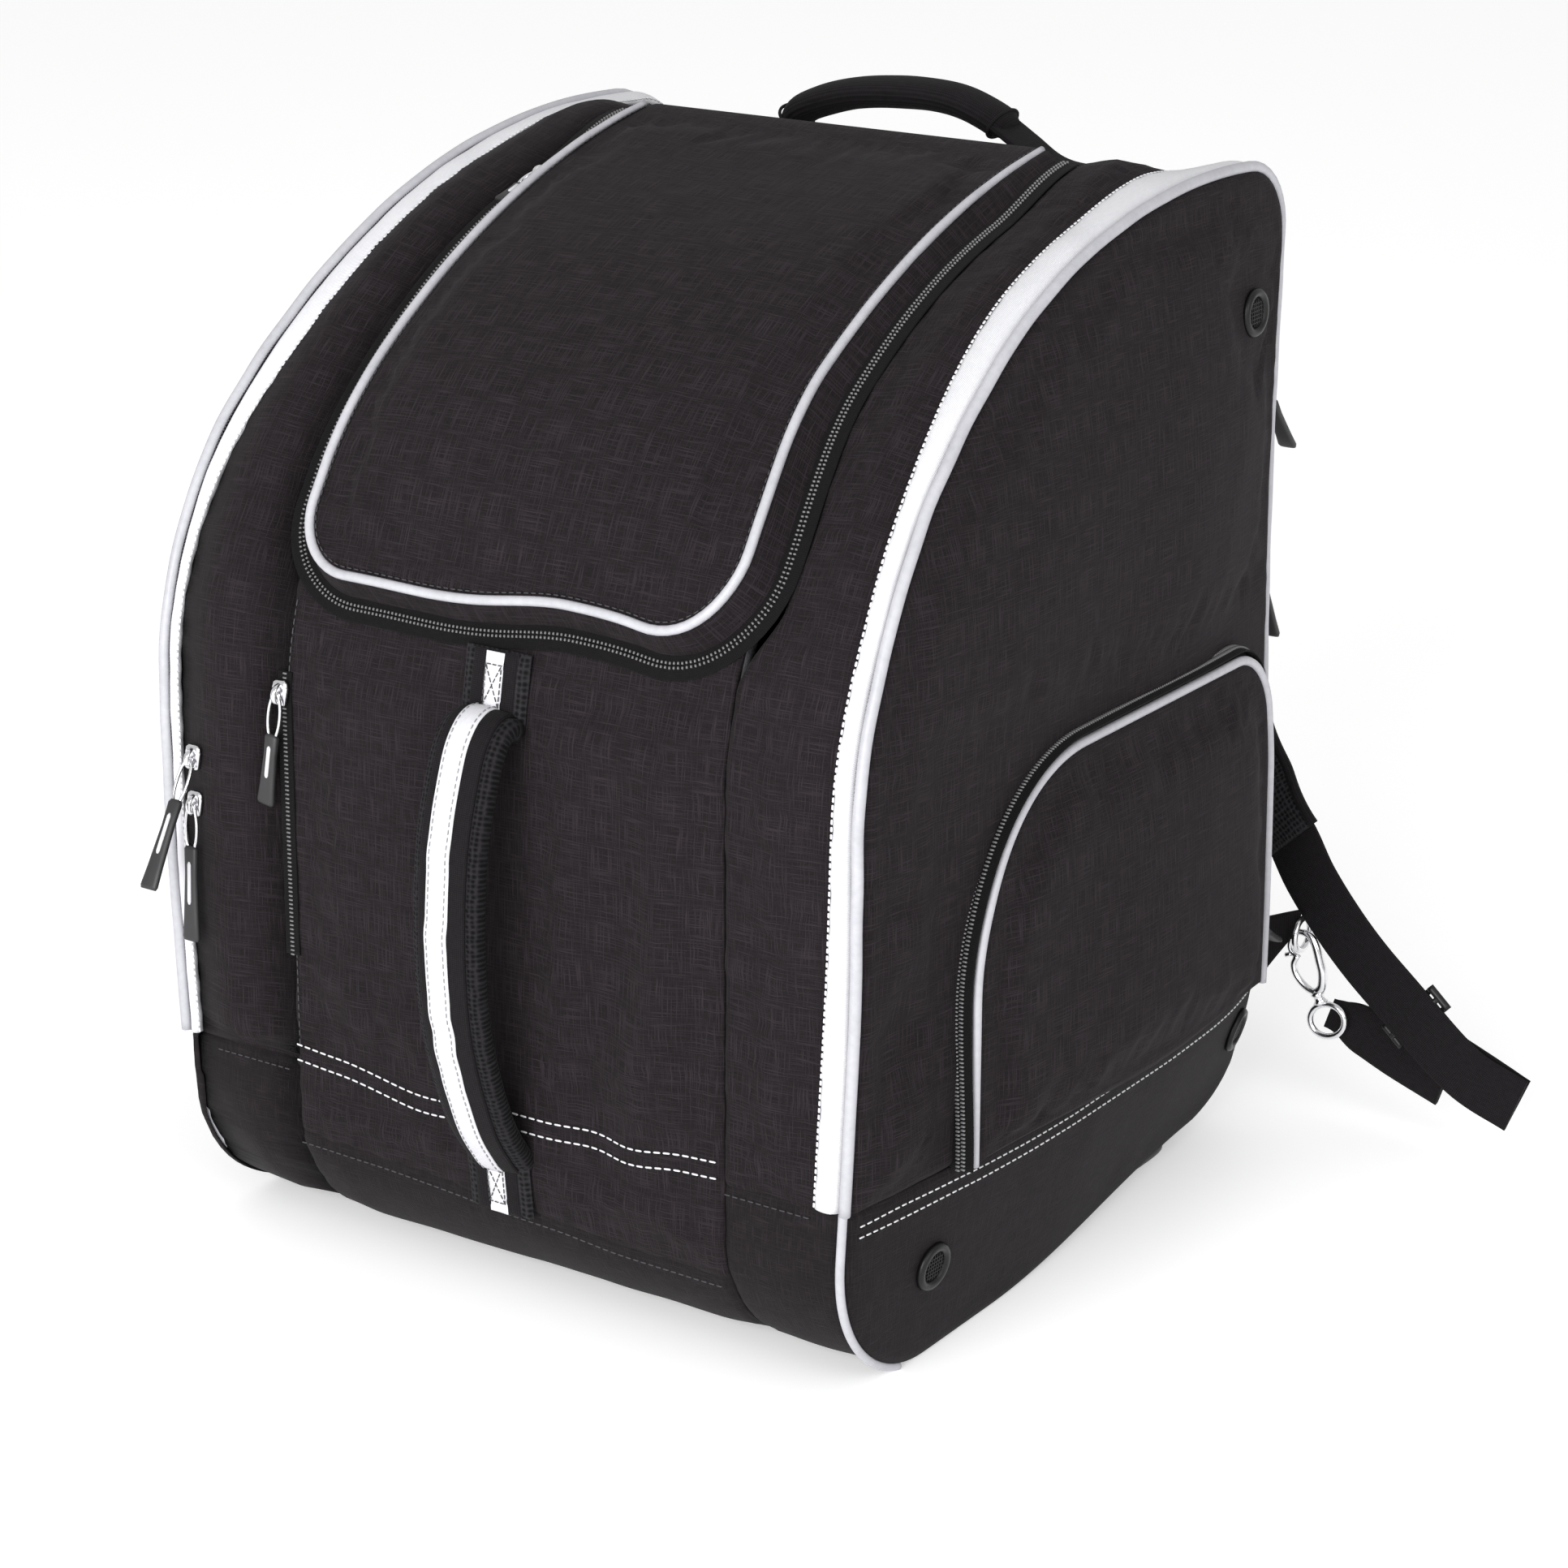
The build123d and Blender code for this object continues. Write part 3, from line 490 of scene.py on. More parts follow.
def settled_face(loop, middle, surface, sign, loose=None):
    """Moves of a side face that is sewn down along a loop (y, z), as a function of y and z."""
    step = 5 * MM
    low, high = loop.min(axis=0), loop.max(axis=0)
    rows = np.arange(low[1], high[1] + step, step)
    columns = np.arange(low[0], high[0] + step, step)
    z, y = np.meshgrid(rows, columns, indexing="ij")
    turn = np.arctan2(loop[:, 1] - middle[1], loop[:, 0] - middle[0])
    size = np.hypot(*(loop - middle).T)
    order = np.argsort(turn)
    around = np.arctan2(z - middle[1], y - middle[0])
    edge = np.interp(around, turn[order], size[order], period=2 * math.pi)
    free = smooth((edge - np.hypot(y - middle[0], z - middle[1]) - 4 * MM) / (14 * MM))
    if loose:
        free = free * loose(y, z)
    points = np.stack([sign * surface(y, z), y, z], -1)
    moves = settle(points, np.array([sign, 0, 0]), free) - points

    def move_at(at_y, at_z):
        """The settled movement at places on the face."""
        a = np.clip((at_y - low[0]) / step, 0, y.shape[1] - 1.001)
        b = np.clip((at_z - low[1]) / step, 0, y.shape[0] - 1.001)
        column, row = np.floor(a).astype(int), np.floor(b).astype(int)
        a, b = (a - column)[..., None], (b - row)[..., None]
        under = moves[row, column] * (1 - a) + moves[row, column + 1] * a
        over = moves[row + 1, column] * (1 - a) + moves[row + 1, column + 1] * a
        return under * (1 - b) + over * b

    return move_at


def attach(piece, body, slot, *nodes):
    """Ties a piece to its CAD body and hides the CAD nodes it stands for; its slot is not used."""
    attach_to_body(piece, body)
    label(piece, slot, *nodes)
    return piece


def label(piece, slot, *nodes):
    """Hides the CAD nodes that a piece stands for; its slot is not used."""
    if nodes:
        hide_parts(*nodes)


def add_strand(name, path, normals, section, look, body, *nodes, slot=None, size=1.0):
    """A swept piece on its body; its slot, named after its look unless given, is not used."""
    attach(sweep(name, path, normals, section, look, size=size), body, slot or look, *nodes)


# ---------------------------------------------------------------- materials
def new_look(name):
    """An empty material and its node tree with a principled shader."""
    look = bpy.data.materials.new(name)
    look.use_nodes = True
    return look, look.node_tree, look.node_tree.nodes["Principled BSDF"]


def add_node(tree, kind, **settings):
    """Adds a node; settings name its properties or, by their label, its inputs."""
    made = tree.nodes.new(kind)
    for key, value in settings.items():
        if hasattr(made, key):
            setattr(made, key, value)
        else:
            made.inputs[key.replace("_", " ")].default_value = value
    return made


def fabric_coordinates(tree, scale):
    """The fabric map stretched by scale per metre."""
    uv = add_node(tree, "ShaderNodeUVMap", uv_map="fabric")
    mapping = add_node(tree, "ShaderNodeMapping")
    mapping.inputs["Scale"].default_value = scale
    tree.links.new(uv.outputs["UV"], mapping.inputs["Vector"])
    return mapping.outputs["Vector"]


def math_node(tree, operation, a, b=None):
    """One arithmetic step between sockets or numbers."""
    made = add_node(tree, "ShaderNodeMath", operation=operation)
    for index, value in enumerate((a, b)):
        if value is None:
            continue
        if isinstance(value, (int, float)):
            made.inputs[index].default_value = value
        else:
            tree.links.new(value, made.inputs[index])
    return made.outputs[0]


def noise(tree, vector, detail=2.0, roughness=0.5):
    """Noise over already scaled coordinates."""
    made = add_node(tree, "ShaderNodeTexNoise", Scale=1.0, Detail=detail, Roughness=roughness)
    tree.links.new(vector, made.inputs["Vector"])
    return made.outputs["Fac"]


def weighted_sum(tree, *parts):
    """Adds up patterns, each given with its weight."""
    total = None
    for value, weight in parts:
        part = math_node(tree, "MULTIPLY", value, weight)
        total = part if total is None else math_node(tree, "ADD", total, part)
    return total


def set_finish(shader, roughness, sheen=0.0, gloss=0.5):
    """How matt, fuzzy and shiny a surface is."""
    shader.inputs["Roughness"].default_value = roughness
    shader.inputs["Sheen Weight"].default_value = sheen
    shader.inputs["Specular IOR Level"].default_value = gloss


def clamp_range(tree, value, low, high):
    """Stretches the stretch low to high of a value over 0 to 1."""
    made = add_node(tree, "ShaderNodeMapRange")
    made.inputs["From Min"].default_value = low
    made.inputs["From Max"].default_value = high
    tree.links.new(value, made.inputs["Value"])
    return made.outputs["Result"]


def mix_colours(tree, factor, dark, light):
    """Colour between two fixed colours."""
    made = add_node(tree, "ShaderNodeMix", data_type="RGBA")
    made.inputs[6].default_value = (*dark, 1)
    made.inputs[7].default_value = (*light, 1)
    tree.links.new(factor, made.inputs[0])
    return made.outputs[2]


def add_bump(tree, shader, height, distance, strength=1.0):
    """Raises the surface by a height pattern."""
    bump = add_node(tree, "ShaderNodeBump", Distance=distance, Strength=strength)
    tree.links.new(height, bump.inputs["Height"])
    tree.links.new(bump.outputs["Normal"], shader.inputs["Normal"])


def woven_look(name, dark, light, thread=0.5, slub=17.0, amount=0.6, sheen=0.02, roughness=0.84):
    """Slubbed linen-look weave: fine threads both ways, some of them thicker and lighter."""
    look, tree, shader = new_look(name)
    across, along = 1000 / thread, 1000 / slub
    warp = noise(tree, fabric_coordinates(tree, (across, along, 1)), 1.5)
    weft = noise(tree, fabric_coordinates(tree, (along, across, 1)), 1.5)
    warp = clamp_range(tree, warp, 0.50, 0.70)
    weft = clamp_range(tree, weft, 0.50, 0.70)
    threads = math_node(tree, "MAXIMUM", warp, weft)
    patches = noise(tree, fabric_coordinates(tree, (9, 9, 1)), 3.0)
    grain = noise(tree, fabric_coordinates(tree, (1500, 1500, 1)), 0.0)
    shade = weighted_sum(tree, (threads, amount), (patches, 0.12), (grain, 0.28))
    tree.links.new(mix_colours(tree, shade, dark, light), shader.inputs["Base Color"])
    set_finish(shader, roughness, sheen, 0.15)
    shader.inputs["Sheen Roughness"].default_value = 0.45
    height = math_node(tree, "ADD", threads, grain)
    add_bump(tree, shader, height, 0.16 * MM, 0.8)
    return look


def ribbed_look(name, dark, light, pitch=1.6, roughness=0.7):
    """Webbing: ribs along its length crossed by fine picks."""
    look, tree, shader = new_look(name)
    ribs = add_node(tree, "ShaderNodeTexWave", Scale=1.0, Distortion=0.6)
    ribs.bands_direction = "X"
    per_metre = 1000 / pitch / 2
    tree.links.new(fabric_coordinates(tree, (per_metre, per_metre, 1)), ribs.inputs["Vector"])
    picks = add_node(tree, "ShaderNodeTexWave", Scale=1.0, Distortion=0.8)
    picks.bands_direction = "Y"
    tree.links.new(fabric_coordinates(tree, (350, 350, 1)), picks.inputs["Vector"])
    fuzz = noise(tree, fabric_coordinates(tree, (700, 250, 1)), 2.0)
    shade = math_node(tree, "MULTIPLY", ribs.outputs["Fac"], picks.outputs["Fac"])
    shade = weighted_sum(tree, (shade, 0.6), (fuzz, 0.4))
    tree.links.new(mix_colours(tree, shade, dark, light), shader.inputs["Base Color"])
    set_finish(shader, roughness, 0.02, 0.12)
    add_bump(tree, shader, shade, 0.35 * MM, 0.8)
    return look


def mesh_look(name, dark, light, cell=2.6):
    """Spacer mesh: round cells in soft knitted fabric."""
    look, tree, shader = new_look(name)
    cells = add_node(tree, "ShaderNodeTexVoronoi", Scale=1.0, Randomness=0.25)
    tree.links.new(fabric_coordinates(tree, (1000 / cell, 1000 / cell, 1)), cells.inputs["Vector"])
    holes = clamp_range(tree, cells.outputs["Distance"], 0.2, 0.55)
    fuzz = noise(tree, fabric_coordinates(tree, (900, 900, 1)), 2.0)
    shade = math_node(tree, "MULTIPLY", holes, math_node(tree, "ADD", fuzz, 0.3))
    tree.links.new(mix_colours(tree, shade, dark, light), shader.inputs["Base Color"])
    set_finish(shader, 0.88, 0.02, 0.12)
    add_bump(tree, shader, holes, 0.6 * MM, 0.9)
    return look


def satin_look(name, dark, light, grain=400.0, roughness=0.45, depth=0.1, gloss=0.5):
    """A slightly uneven moulded or wrapped surface."""
    look, tree, shader = new_look(name)
    marks = noise(tree, fabric_coordinates(tree, (grain, grain, 1)), 3.0)
    broad = noise(tree, fabric_coordinates(tree, (25, 25, 1)), 2.0)
    shade = weighted_sum(tree, (marks, 0.5), (broad, 0.5))
    tree.links.new(mix_colours(tree, shade, dark, light), shader.inputs["Base Color"])
    wear = math_node(tree, "ADD", math_node(tree, "MULTIPLY", broad, 0.2), roughness - 0.1)
    tree.links.new(wear, shader.inputs["Roughness"])
    shader.inputs["Specular IOR Level"].default_value = gloss
    add_bump(tree, shader, marks, depth * MM, 0.5)
    return look


def tape_look(name, dark, light, pitch=0.9):
    """Woven tape: a fine herringbone of slanting picks."""
    look, tree, shader = new_look(name)
    picks = add_node(tree, "ShaderNodeTexWave", Scale=1.0, Distortion=0.4)
    picks.bands_direction = "DIAGONAL"
    tree.links.new(fabric_coordinates(tree, (500 / pitch, 700 / pitch, 1)), picks.inputs["Vector"])
    fuzz = noise(tree, fabric_coordinates(tree, (900, 300, 1)), 2.0)
    soil = noise(tree, fabric_coordinates(tree, (30, 12, 1)), 3.0)
    shade = weighted_sum(tree, (picks.outputs["Fac"], 0.35), (fuzz, 0.35), (soil, 0.5))
    tree.links.new(mix_colours(tree, shade, dark, light), shader.inputs["Base Color"])
    shader.inputs["Roughness"].default_value = 0.6
    add_bump(tree, shader, picks.outputs["Fac"], 0.15 * MM, 0.5)
    return look


def metal_look(name, colour, roughness):
    """Polished plated metal with faint handling marks."""
    look, tree, shader = new_look(name)
    marks = noise(tree, fabric_coordinates(tree, (300, 1200, 1)), 3.0)
    shader.inputs["Base Color"].default_value = (*colour, 1)
    shader.inputs["Metallic"].default_value = 1.0
    wear = math_node(tree, "ADD", math_node(tree, "MULTIPLY", marks, 0.16), roughness)
    tree.links.new(wear, shader.inputs["Roughness"])
    add_bump(tree, shader, marks, 0.03 * MM, 0.4)
    return look


LOOKS = {
    "shell_fabric": woven_look("shell_fabric", (0.0018, 0.0011, 0.0016), (0.0270, 0.0205, 0.0245)),
    "coated_fabric": woven_look(
        "coated_fabric", (0.0016, 0.0010, 0.0014), (0.0215, 0.0165, 0.0195), 0.5, 12, 0.5, 0.01, 0.74
    ),
    "padded_mesh": mesh_look("padded_mesh", (0.003, 0.003, 0.0034), (0.026, 0.024, 0.027)),
    "lining": woven_look("lining", (0.030, 0.030, 0.034), (0.085, 0.085, 0.095), 0.6, 3.0, 0.4, 0.1, 0.6),
    "board": satin_look("board", (0.02, 0.02, 0.021), (0.05, 0.05, 0.052), 250, 0.6, 0.2),
    "white_tape": tape_look("white_tape", (0.44, 0.44, 0.47), (0.78, 0.78, 0.80)),
    # Painted shade: the white piping gets a grey colour (0.30 to 0.57) that stands in for the shade it
    # lies in, so it reads darker than the white tape.
    "white_piping": satin_look("white_piping", (0.30, 0.30, 0.33), (0.54, 0.54, 0.57), 300, 0.45),
    "zip_coil": satin_look("zip_coil", (0.012, 0.012, 0.013), (0.05, 0.05, 0.052), 500, 0.3),
    "zip_tape": ribbed_look("zip_tape", (0.002, 0.0018, 0.002), (0.010, 0.009, 0.010), 0.9, 0.85),
    "webbing": ribbed_look("webbing", (0.0022, 0.0020, 0.0023), (0.019, 0.016, 0.0185), 1.6, 0.85),
    "reflective_tape": tape_look("reflective_tape", (0.42, 0.42, 0.45), (0.74, 0.74, 0.76), 0.6),
    "chrome": metal_look("chrome", (0.78, 0.78, 0.80), 0.1),
    "zip_pull": satin_look("zip_pull", (0.008, 0.008, 0.009), (0.03, 0.03, 0.032), 600, 0.5),
    "black_plastic": satin_look(
        "black_plastic", (0.003, 0.003, 0.0033), (0.009, 0.009, 0.0095), 500, 0.4, 0.1, 0.3
    ),
    "thread": tape_look("thread", (0.45, 0.45, 0.47), (0.85, 0.85, 0.87), 0.5),
    "grey_thread": tape_look("grey_thread", (0.16, 0.16, 0.17), (0.34, 0.34, 0.36), 0.5),
    # Painted highlight: the black zip coils get a light grey colour that stands in for the glints on
    # their teeth.
    "coil_painted_glints": satin_look("coil_painted_glints", (0.05, 0.05, 0.052), (0.24, 0.24, 0.245), 500, 0.28),
    "knit": mesh_look("knit", (0.0015, 0.0015, 0.0018), (0.020, 0.018, 0.021), 2.2),
    "vent_mesh": mesh_look("vent_mesh", (0.002, 0.002, 0.002), (0.02, 0.02, 0.021), 1.4),
    "dark_thread": tape_look("dark_thread", (0.015, 0.015, 0.017), (0.06, 0.06, 0.065), 0.5),
}


# ---------------------------------------------------------------- panels of the wrap-round body
def seam_roll(distance, depth=1.8, width=4.5):
    """How far cloth dips as it nears a seam; depth and width in millimetres."""
    return -depth * MM * (1 - smooth(distance / (width * MM))) ** 2


def puckers(along, distance, seed, height=0.6):
    """Short gathers that run in from a seam and fade out; height in millimetres."""
    wave = lumps(along, 0.0 * along, 11 * MM, seed) + 0.5 * lumps(along, 0.0 * along, 5 * MM, seed + 1)
    return height * MM * wave * np.exp(-distance / (9 * MM))


def wrap_panel(name, x_edges, s_edges, out, look, seed, thickness=3.0, step=4.0, loose=None):
    """A soft panel of the body between two side seams and two end seams.

    x_edges(s) and s_edges(x) give the low and high edge; out(x, s) is its own bulge; a panel with
    loose(x, s), 1 where it is not sewn to anything, is finished as inflated cloth.
    """
    s_low, s_high = s_edges(0.0)
    rows = spaced(s_high - s_low, step * MM) / (s_high - s_low)
    x_low, x_high = x_edges((s_low + s_high) / 2)
    columns = spaced(x_high - x_low, step * MM) / (x_high - x_low)
    b, a = np.meshgrid(rows, columns, indexing="ij")
    s = s_low + b * (s_high - s_low)
    x_low, x_high = x_edges(s)
    x = x_low + a * (x_high - x_low)
    s_low, s_high = s_edges(x)
    s = s_low + b * (s_high - s_low)
    to_side = np.minimum(a, 1 - a) * np.abs(x_high - x_low)
    to_end = np.minimum(b, 1 - b) * (s_high - s_low)
    height = out(x, s) + creases(x, s, seed)
    height = height * smooth(np.minimum(to_side, to_end) / (25 * MM))
    height = height + seam_roll(to_side) + seam_roll(to_end, 1.2)
    height = height + puckers(s, to_side, seed + 2) + puckers(x, to_end, seed + 3)
    outer = skin(x, s, height)
    inner = skin(x, s, np.minimum(height, 0) - thickness * MM)
    if loose:
        free = smooth((np.minimum(to_side, to_end) - 4 * MM) / (14 * MM)) * loose(x, s)
        outer = settle(outer, outer - inner, free)
    return slab(name, outer, inner, np.stack([x, s], -1), look)


def front_bulge(x, s):
    """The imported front: fuller low down, with a long soft fold left of the right seam."""
    full = 3.0 * MM * (1 - (x / SEAM_X) ** 2) * hump(s, front_at(170 * MM), 170 * MM)
    ridge = 86 * MM + 10 * MM * np.sin((s - front_at(150 * MM)) / (60 * MM))
    fold = 5.0 * MM * hump(x, ridge, 24 * MM) * hump(s, front_at(170 * MM), 150 * MM)
    hollow = -4.0 * MM * hump(x, ridge - 30 * MM, 24 * MM) * hump(s, front_at(160 * MM), 150 * MM)
    drape = 2.2 * MM * hump(s, front_at(262 * MM) + 0.25 * x, 16 * MM) * smooth((x - 10 * MM) / (40 * MM))
    return full + fold + hollow + drape


def front_loose(x, s):
    """1 where the front is not held by its stitch rows, its zip or the handle's ends."""
    off_rows = smooth((np.abs(s - front_at(93 * MM)) - 7 * MM) / (12 * MM))
    off_handle = smooth((np.abs(x) - 19 * MM) / (10 * MM))
    off_zip = smooth((x + SEAM_X - 8 * MM) / (10 * MM))
    return off_rows * off_handle * off_zip


def band_edge(x):
    """Top edge of the front's coated band: it falls a little towards the right."""
    fall = -6.5 * MM * np.sin(x / (72 * MM))
    return front_at(CENTRE_BAND_TOP) + fall + 0.8 * MM * lumps(x, 0 * x, 30 * MM, 8)


S_FLAP_HINGE = top_at(FLAP_REAR + 1 * MM)
S_FOOT = 0.0
S_REAR_SEAM = top_at(REAR_TOP_START)
S_BAND = front_at(BAND_TOP)


def gusset_inner(sign, s):
    """Inner seam of a gusset: beside the front panel, then under the edge of the flap's zip."""
    beside_flap = smooth((s - front_at(FLAP_BOTTOM - 10 * MM)) / (40 * MM))
    behind = smooth((s - S_FLAP_HINGE) / (12 * MM))
    under_zip = PIPE_HALF + ZIP_OUT + ZIP_HALF - 3 * MM + flap_sway(sign * PIPE_HALF, s)
    return SEAM_X + 0.5 * MM + (under_zip - SEAM_X) * beside_flap * (1 - behind)


def front_top(x):
    """Top edge of the front panel: it follows the flap's zip, just under its tape."""
    radius = np.where(x < 0, FLAP_CORNERS[-1], FLAP_CORNERS[1])
    below = ZIP_OUT + ZIP_HALF - 3 * MM
    beyond = np.clip(np.abs(x) - (PIPE_HALF - radius), 0, radius + below)
    return flap_bottom(x) + radius - np.sqrt(np.maximum((radius + below) ** 2 - beyond**2, 0))


def gusset_outer(s):
    """Outer seam of the gussets, at the doors."""
    return SIDE + side_bow(s)


def gusset_bulge(x, s):
    """The gussets are stuffed strips, a little flatter over the top."""
    middle = (SEAM_X + SIDE) / 2
    across = 1 - ((np.abs(x) - middle) / (SIDE - middle)) ** 2
    return (2.5 * MM + 2 * MM * hump(s, S_CROWN, 200 * MM)) * np.clip(across, 0, 1)


def build_body_panels():
    """Front, top and gussets, each with its own soft form."""

    def centre(s):
        """Both side seams of the front and top panels, just inside the gussets."""
        return -SEAM_X + 0.4 * MM + 0 * s, SEAM_X - 0.4 * MM + 0 * s

    front = wrap_panel(
        "front_panel_cloth",
        centre,
        lambda x: (band_edge(x) - 2 * MM, front_top(x)),
        front_bulge,
        "shell_fabric",
        11,
        step=3.5,
        loose=front_loose,
    )
    attach(front, "bag_body", "shell_fabric", "front_panel")
    band = wrap_panel(
        "front_lower_band_cloth",
        centre,
        lambda x: (S_FOOT + 0 * x, band_edge(x) + 3 * MM),
        lambda x, s: 1.6 * MM + 0 * x,
        "coated_fabric",
        21,
    )
    attach(band, "bag_body", "coated_fabric", "front_lower_band")
    top = wrap_panel(
        "top_panel_cloth",
        centre,
        lambda x: (S_FLAP_HINGE + 0 * x, S_REAR_SEAM - 0.5 * MM + 0 * x),
        lambda x, s: 0.0 * x,
        "shell_fabric",
        31,
        loose=lambda x, s: 1 - smooth((np.abs(x) - 55 * MM) / (15 * MM)),
    )
    attach(top, "bag_body", "shell_fabric", "top_panel")
    for side, sign in SIDES.items():
        gusset = wrap_panel(
            f"{side}_gusset_cloth",
            lambda s: (sign * gusset_inner(sign, s), sign * gusset_outer(s)),
            lambda x: (S_BAND - 1 * MM + 0 * x, S_REAR_SEAM - 0.5 * MM + 0 * x),
            gusset_bulge,
            "shell_fabric",
            41 + sign,
            loose=lambda x, s: smooth((gusset_outer(s) - np.abs(x) - 15 * MM) / (10 * MM)),
        )
        attach(gusset, "bag_body", "shell_fabric", f"{side}_gusset")
        lower = wrap_panel(
            f"{side}_gusset_band_cloth",
            lambda s: (sign * (SEAM_X + 0.5 * MM) + 0 * s, sign * (SIDE + 0.2 * MM + side_bow(s))),
            lambda x: (S_FOOT + 0 * x, S_BAND + 2 * MM + 0 * x),
            lambda x, s: 1.2 * MM + 0 * x,
            "coated_fabric",
            51 + sign,
        )
        attach(lower, "bag_body", "coated_fabric", "gusset_lower_bands")


def build_base():
    """Base panel under the bag, lifted a little at the rear."""
    x = np.linspace(-SIDE, SIDE, 60)
    y = np.linspace(FOOT_START, REAR_TOP_START - 0.5 * MM, 50)
    y, x = np.meshgrid(y, x, indexing="ij")
    sag = 0.4 * MM * np.abs(lumps(x, y, 40 * MM, 5))
    near_side = smooth(1 - (SIDE - np.abs(x)) / (120 * MM))
    height = 0.8 * MM + sag + rear_lift(y) * near_side
    outer = np.stack([x * (1 - rear_tuck(y, 0 * y) / SIDE), y, height], -1)
    inner = outer + np.array([0, 0, 3 * MM])
    base = slab("base_cloth", outer, inner, np.stack([x, y], -1), "coated_fabric")
    attach(base, "bag_body", "coated_fabric", "base_panel")


def build_back():
    """Padded back panel with its quilted channels."""
    s_low, s_high = S_REAR_SEAM, S_END
    s = s_low + spaced(s_high - s_low, 4 * MM)
    x = -SIDE + spaced(2 * SIDE, 4 * MM)
    s, x = np.meshgrid(s, x, indexing="ij")
    from_top = s - back_at(TOP - 60 * MM)
    from_low = back_at(60 * MM) - s
    from_side = SIDE - 25 * MM - np.abs(x)
    inside = smooth(np.minimum(from_top, from_low) / (20 * MM)) * smooth(from_side / (16 * MM))
    channels = np.abs(np.sin(math.pi * (s - back_at(TOP - 60 * MM)) / (72 * MM))) ** 0.35
    spine = smooth((np.abs(x) - 10 * MM) / (10 * MM))
    pad = 5.5 * MM * inside * channels * (0.35 + 0.65 * spine)
    edge = np.minimum(np.minimum(s - s_low, s_high - s), SIDE - np.abs(x))
    height = pad + seam_roll(edge) + creases(x, s, 61) * 0.5
    outer = skin(x, s, height)
    inner = skin(x, s, -4 * MM)
    back = slab("back_panel_cloth", outer, inner, np.stack([x, s], -1), "padded_mesh")
    attach(back, "bag_body", "padded_mesh", "back_panel")


# ---------------------------------------------------------------- helmet flap
FLAP_CORNERS = {-1: 27 * MM, 1: 38 * MM}  # radius of the left and right lower corners
PIPE_HALF = FLAP_HALF - 1 * MM  # from the flap's middle to its side piping
ZIP_OUT = 12.5 * MM  # from the piping to the middle of the zip
ZIP_HALF = 6.4 * MM  # half the width of the zip's two tapes


def flap_sway(x, s):
    """The flap's right edge hangs outward just above its corner."""
    right = smooth((x + 20 * MM) / (100 * MM))
    return 8 * MM * right * hump(s, front_at(358 * MM), 85 * MM)


def flap_bottom(x):
    """Length along the outline at the flap's lower piping: it rises a little past the middle."""
    rise = 7 * MM * hump(x, 34 * MM, 70 * MM)
    return front_at(FLAP_BOTTOM + 5 * MM) + rise + 1.2 * MM * lumps(x, 0 * x, 35 * MM, 3)


def flap_rim(grown=0.0):
    """The flap's piping line as (x, s), from its left hinge round the bottom to its right hinge."""
    low = flap_bottom(np.zeros(1))[0]
    rows = np.linspace(S_FLAP_HINGE - 3 * MM, low + 45 * MM, 80)
    left = [(-PIPE_HALF, s) for s in rows if s > low + FLAP_CORNERS[-1]]
    right = [(PIPE_HALF, s) for s in rows[::-1] if s > low + FLAP_CORNERS[1]]
    turn = np.radians(np.linspace(0, 90, 14))
    r = FLAP_CORNERS[-1]
    left_turn = [(-PIPE_HALF + r - r * math.cos(a), low + r - r * math.sin(a)) for a in turn]
    r = FLAP_CORNERS[1]
    right_turn = [(PIPE_HALF - r + r * math.cos(a), low + r - r * math.sin(a)) for a in turn[::-1]]
    span = np.linspace(-PIPE_HALF + FLAP_CORNERS[-1], PIPE_HALF - FLAP_CORNERS[1], 44)[1:-1]
    rim = np.array(left + left_turn + [(x, low) for x in span] + right_turn + right)
    tangent = unit(np.gradient(rim, axis=0))
    rim = rim + grown * np.stack([tangent[:, 1], -tangent[:, 0]], 1)
    near_bottom = smooth((low + 60 * MM - rim[:, 1]) / (60 * MM))
    x = rim[:, 0] + flap_sway(rim[:, 0], rim[:, 1])
    s = rim[:, 1] + (flap_bottom(rim[:, 0]) - low) * near_bottom
    return x, s


def flap_height(s):
    """How far the flap's piping stands off the body's own surface."""
    above_outline = 11 * MM + 5 * MM * smooth((s - S_SHOULDER) / (90 * MM))
    return above_outline - stuffing(s) - hinge_ridge(PIPE_HALF, s)


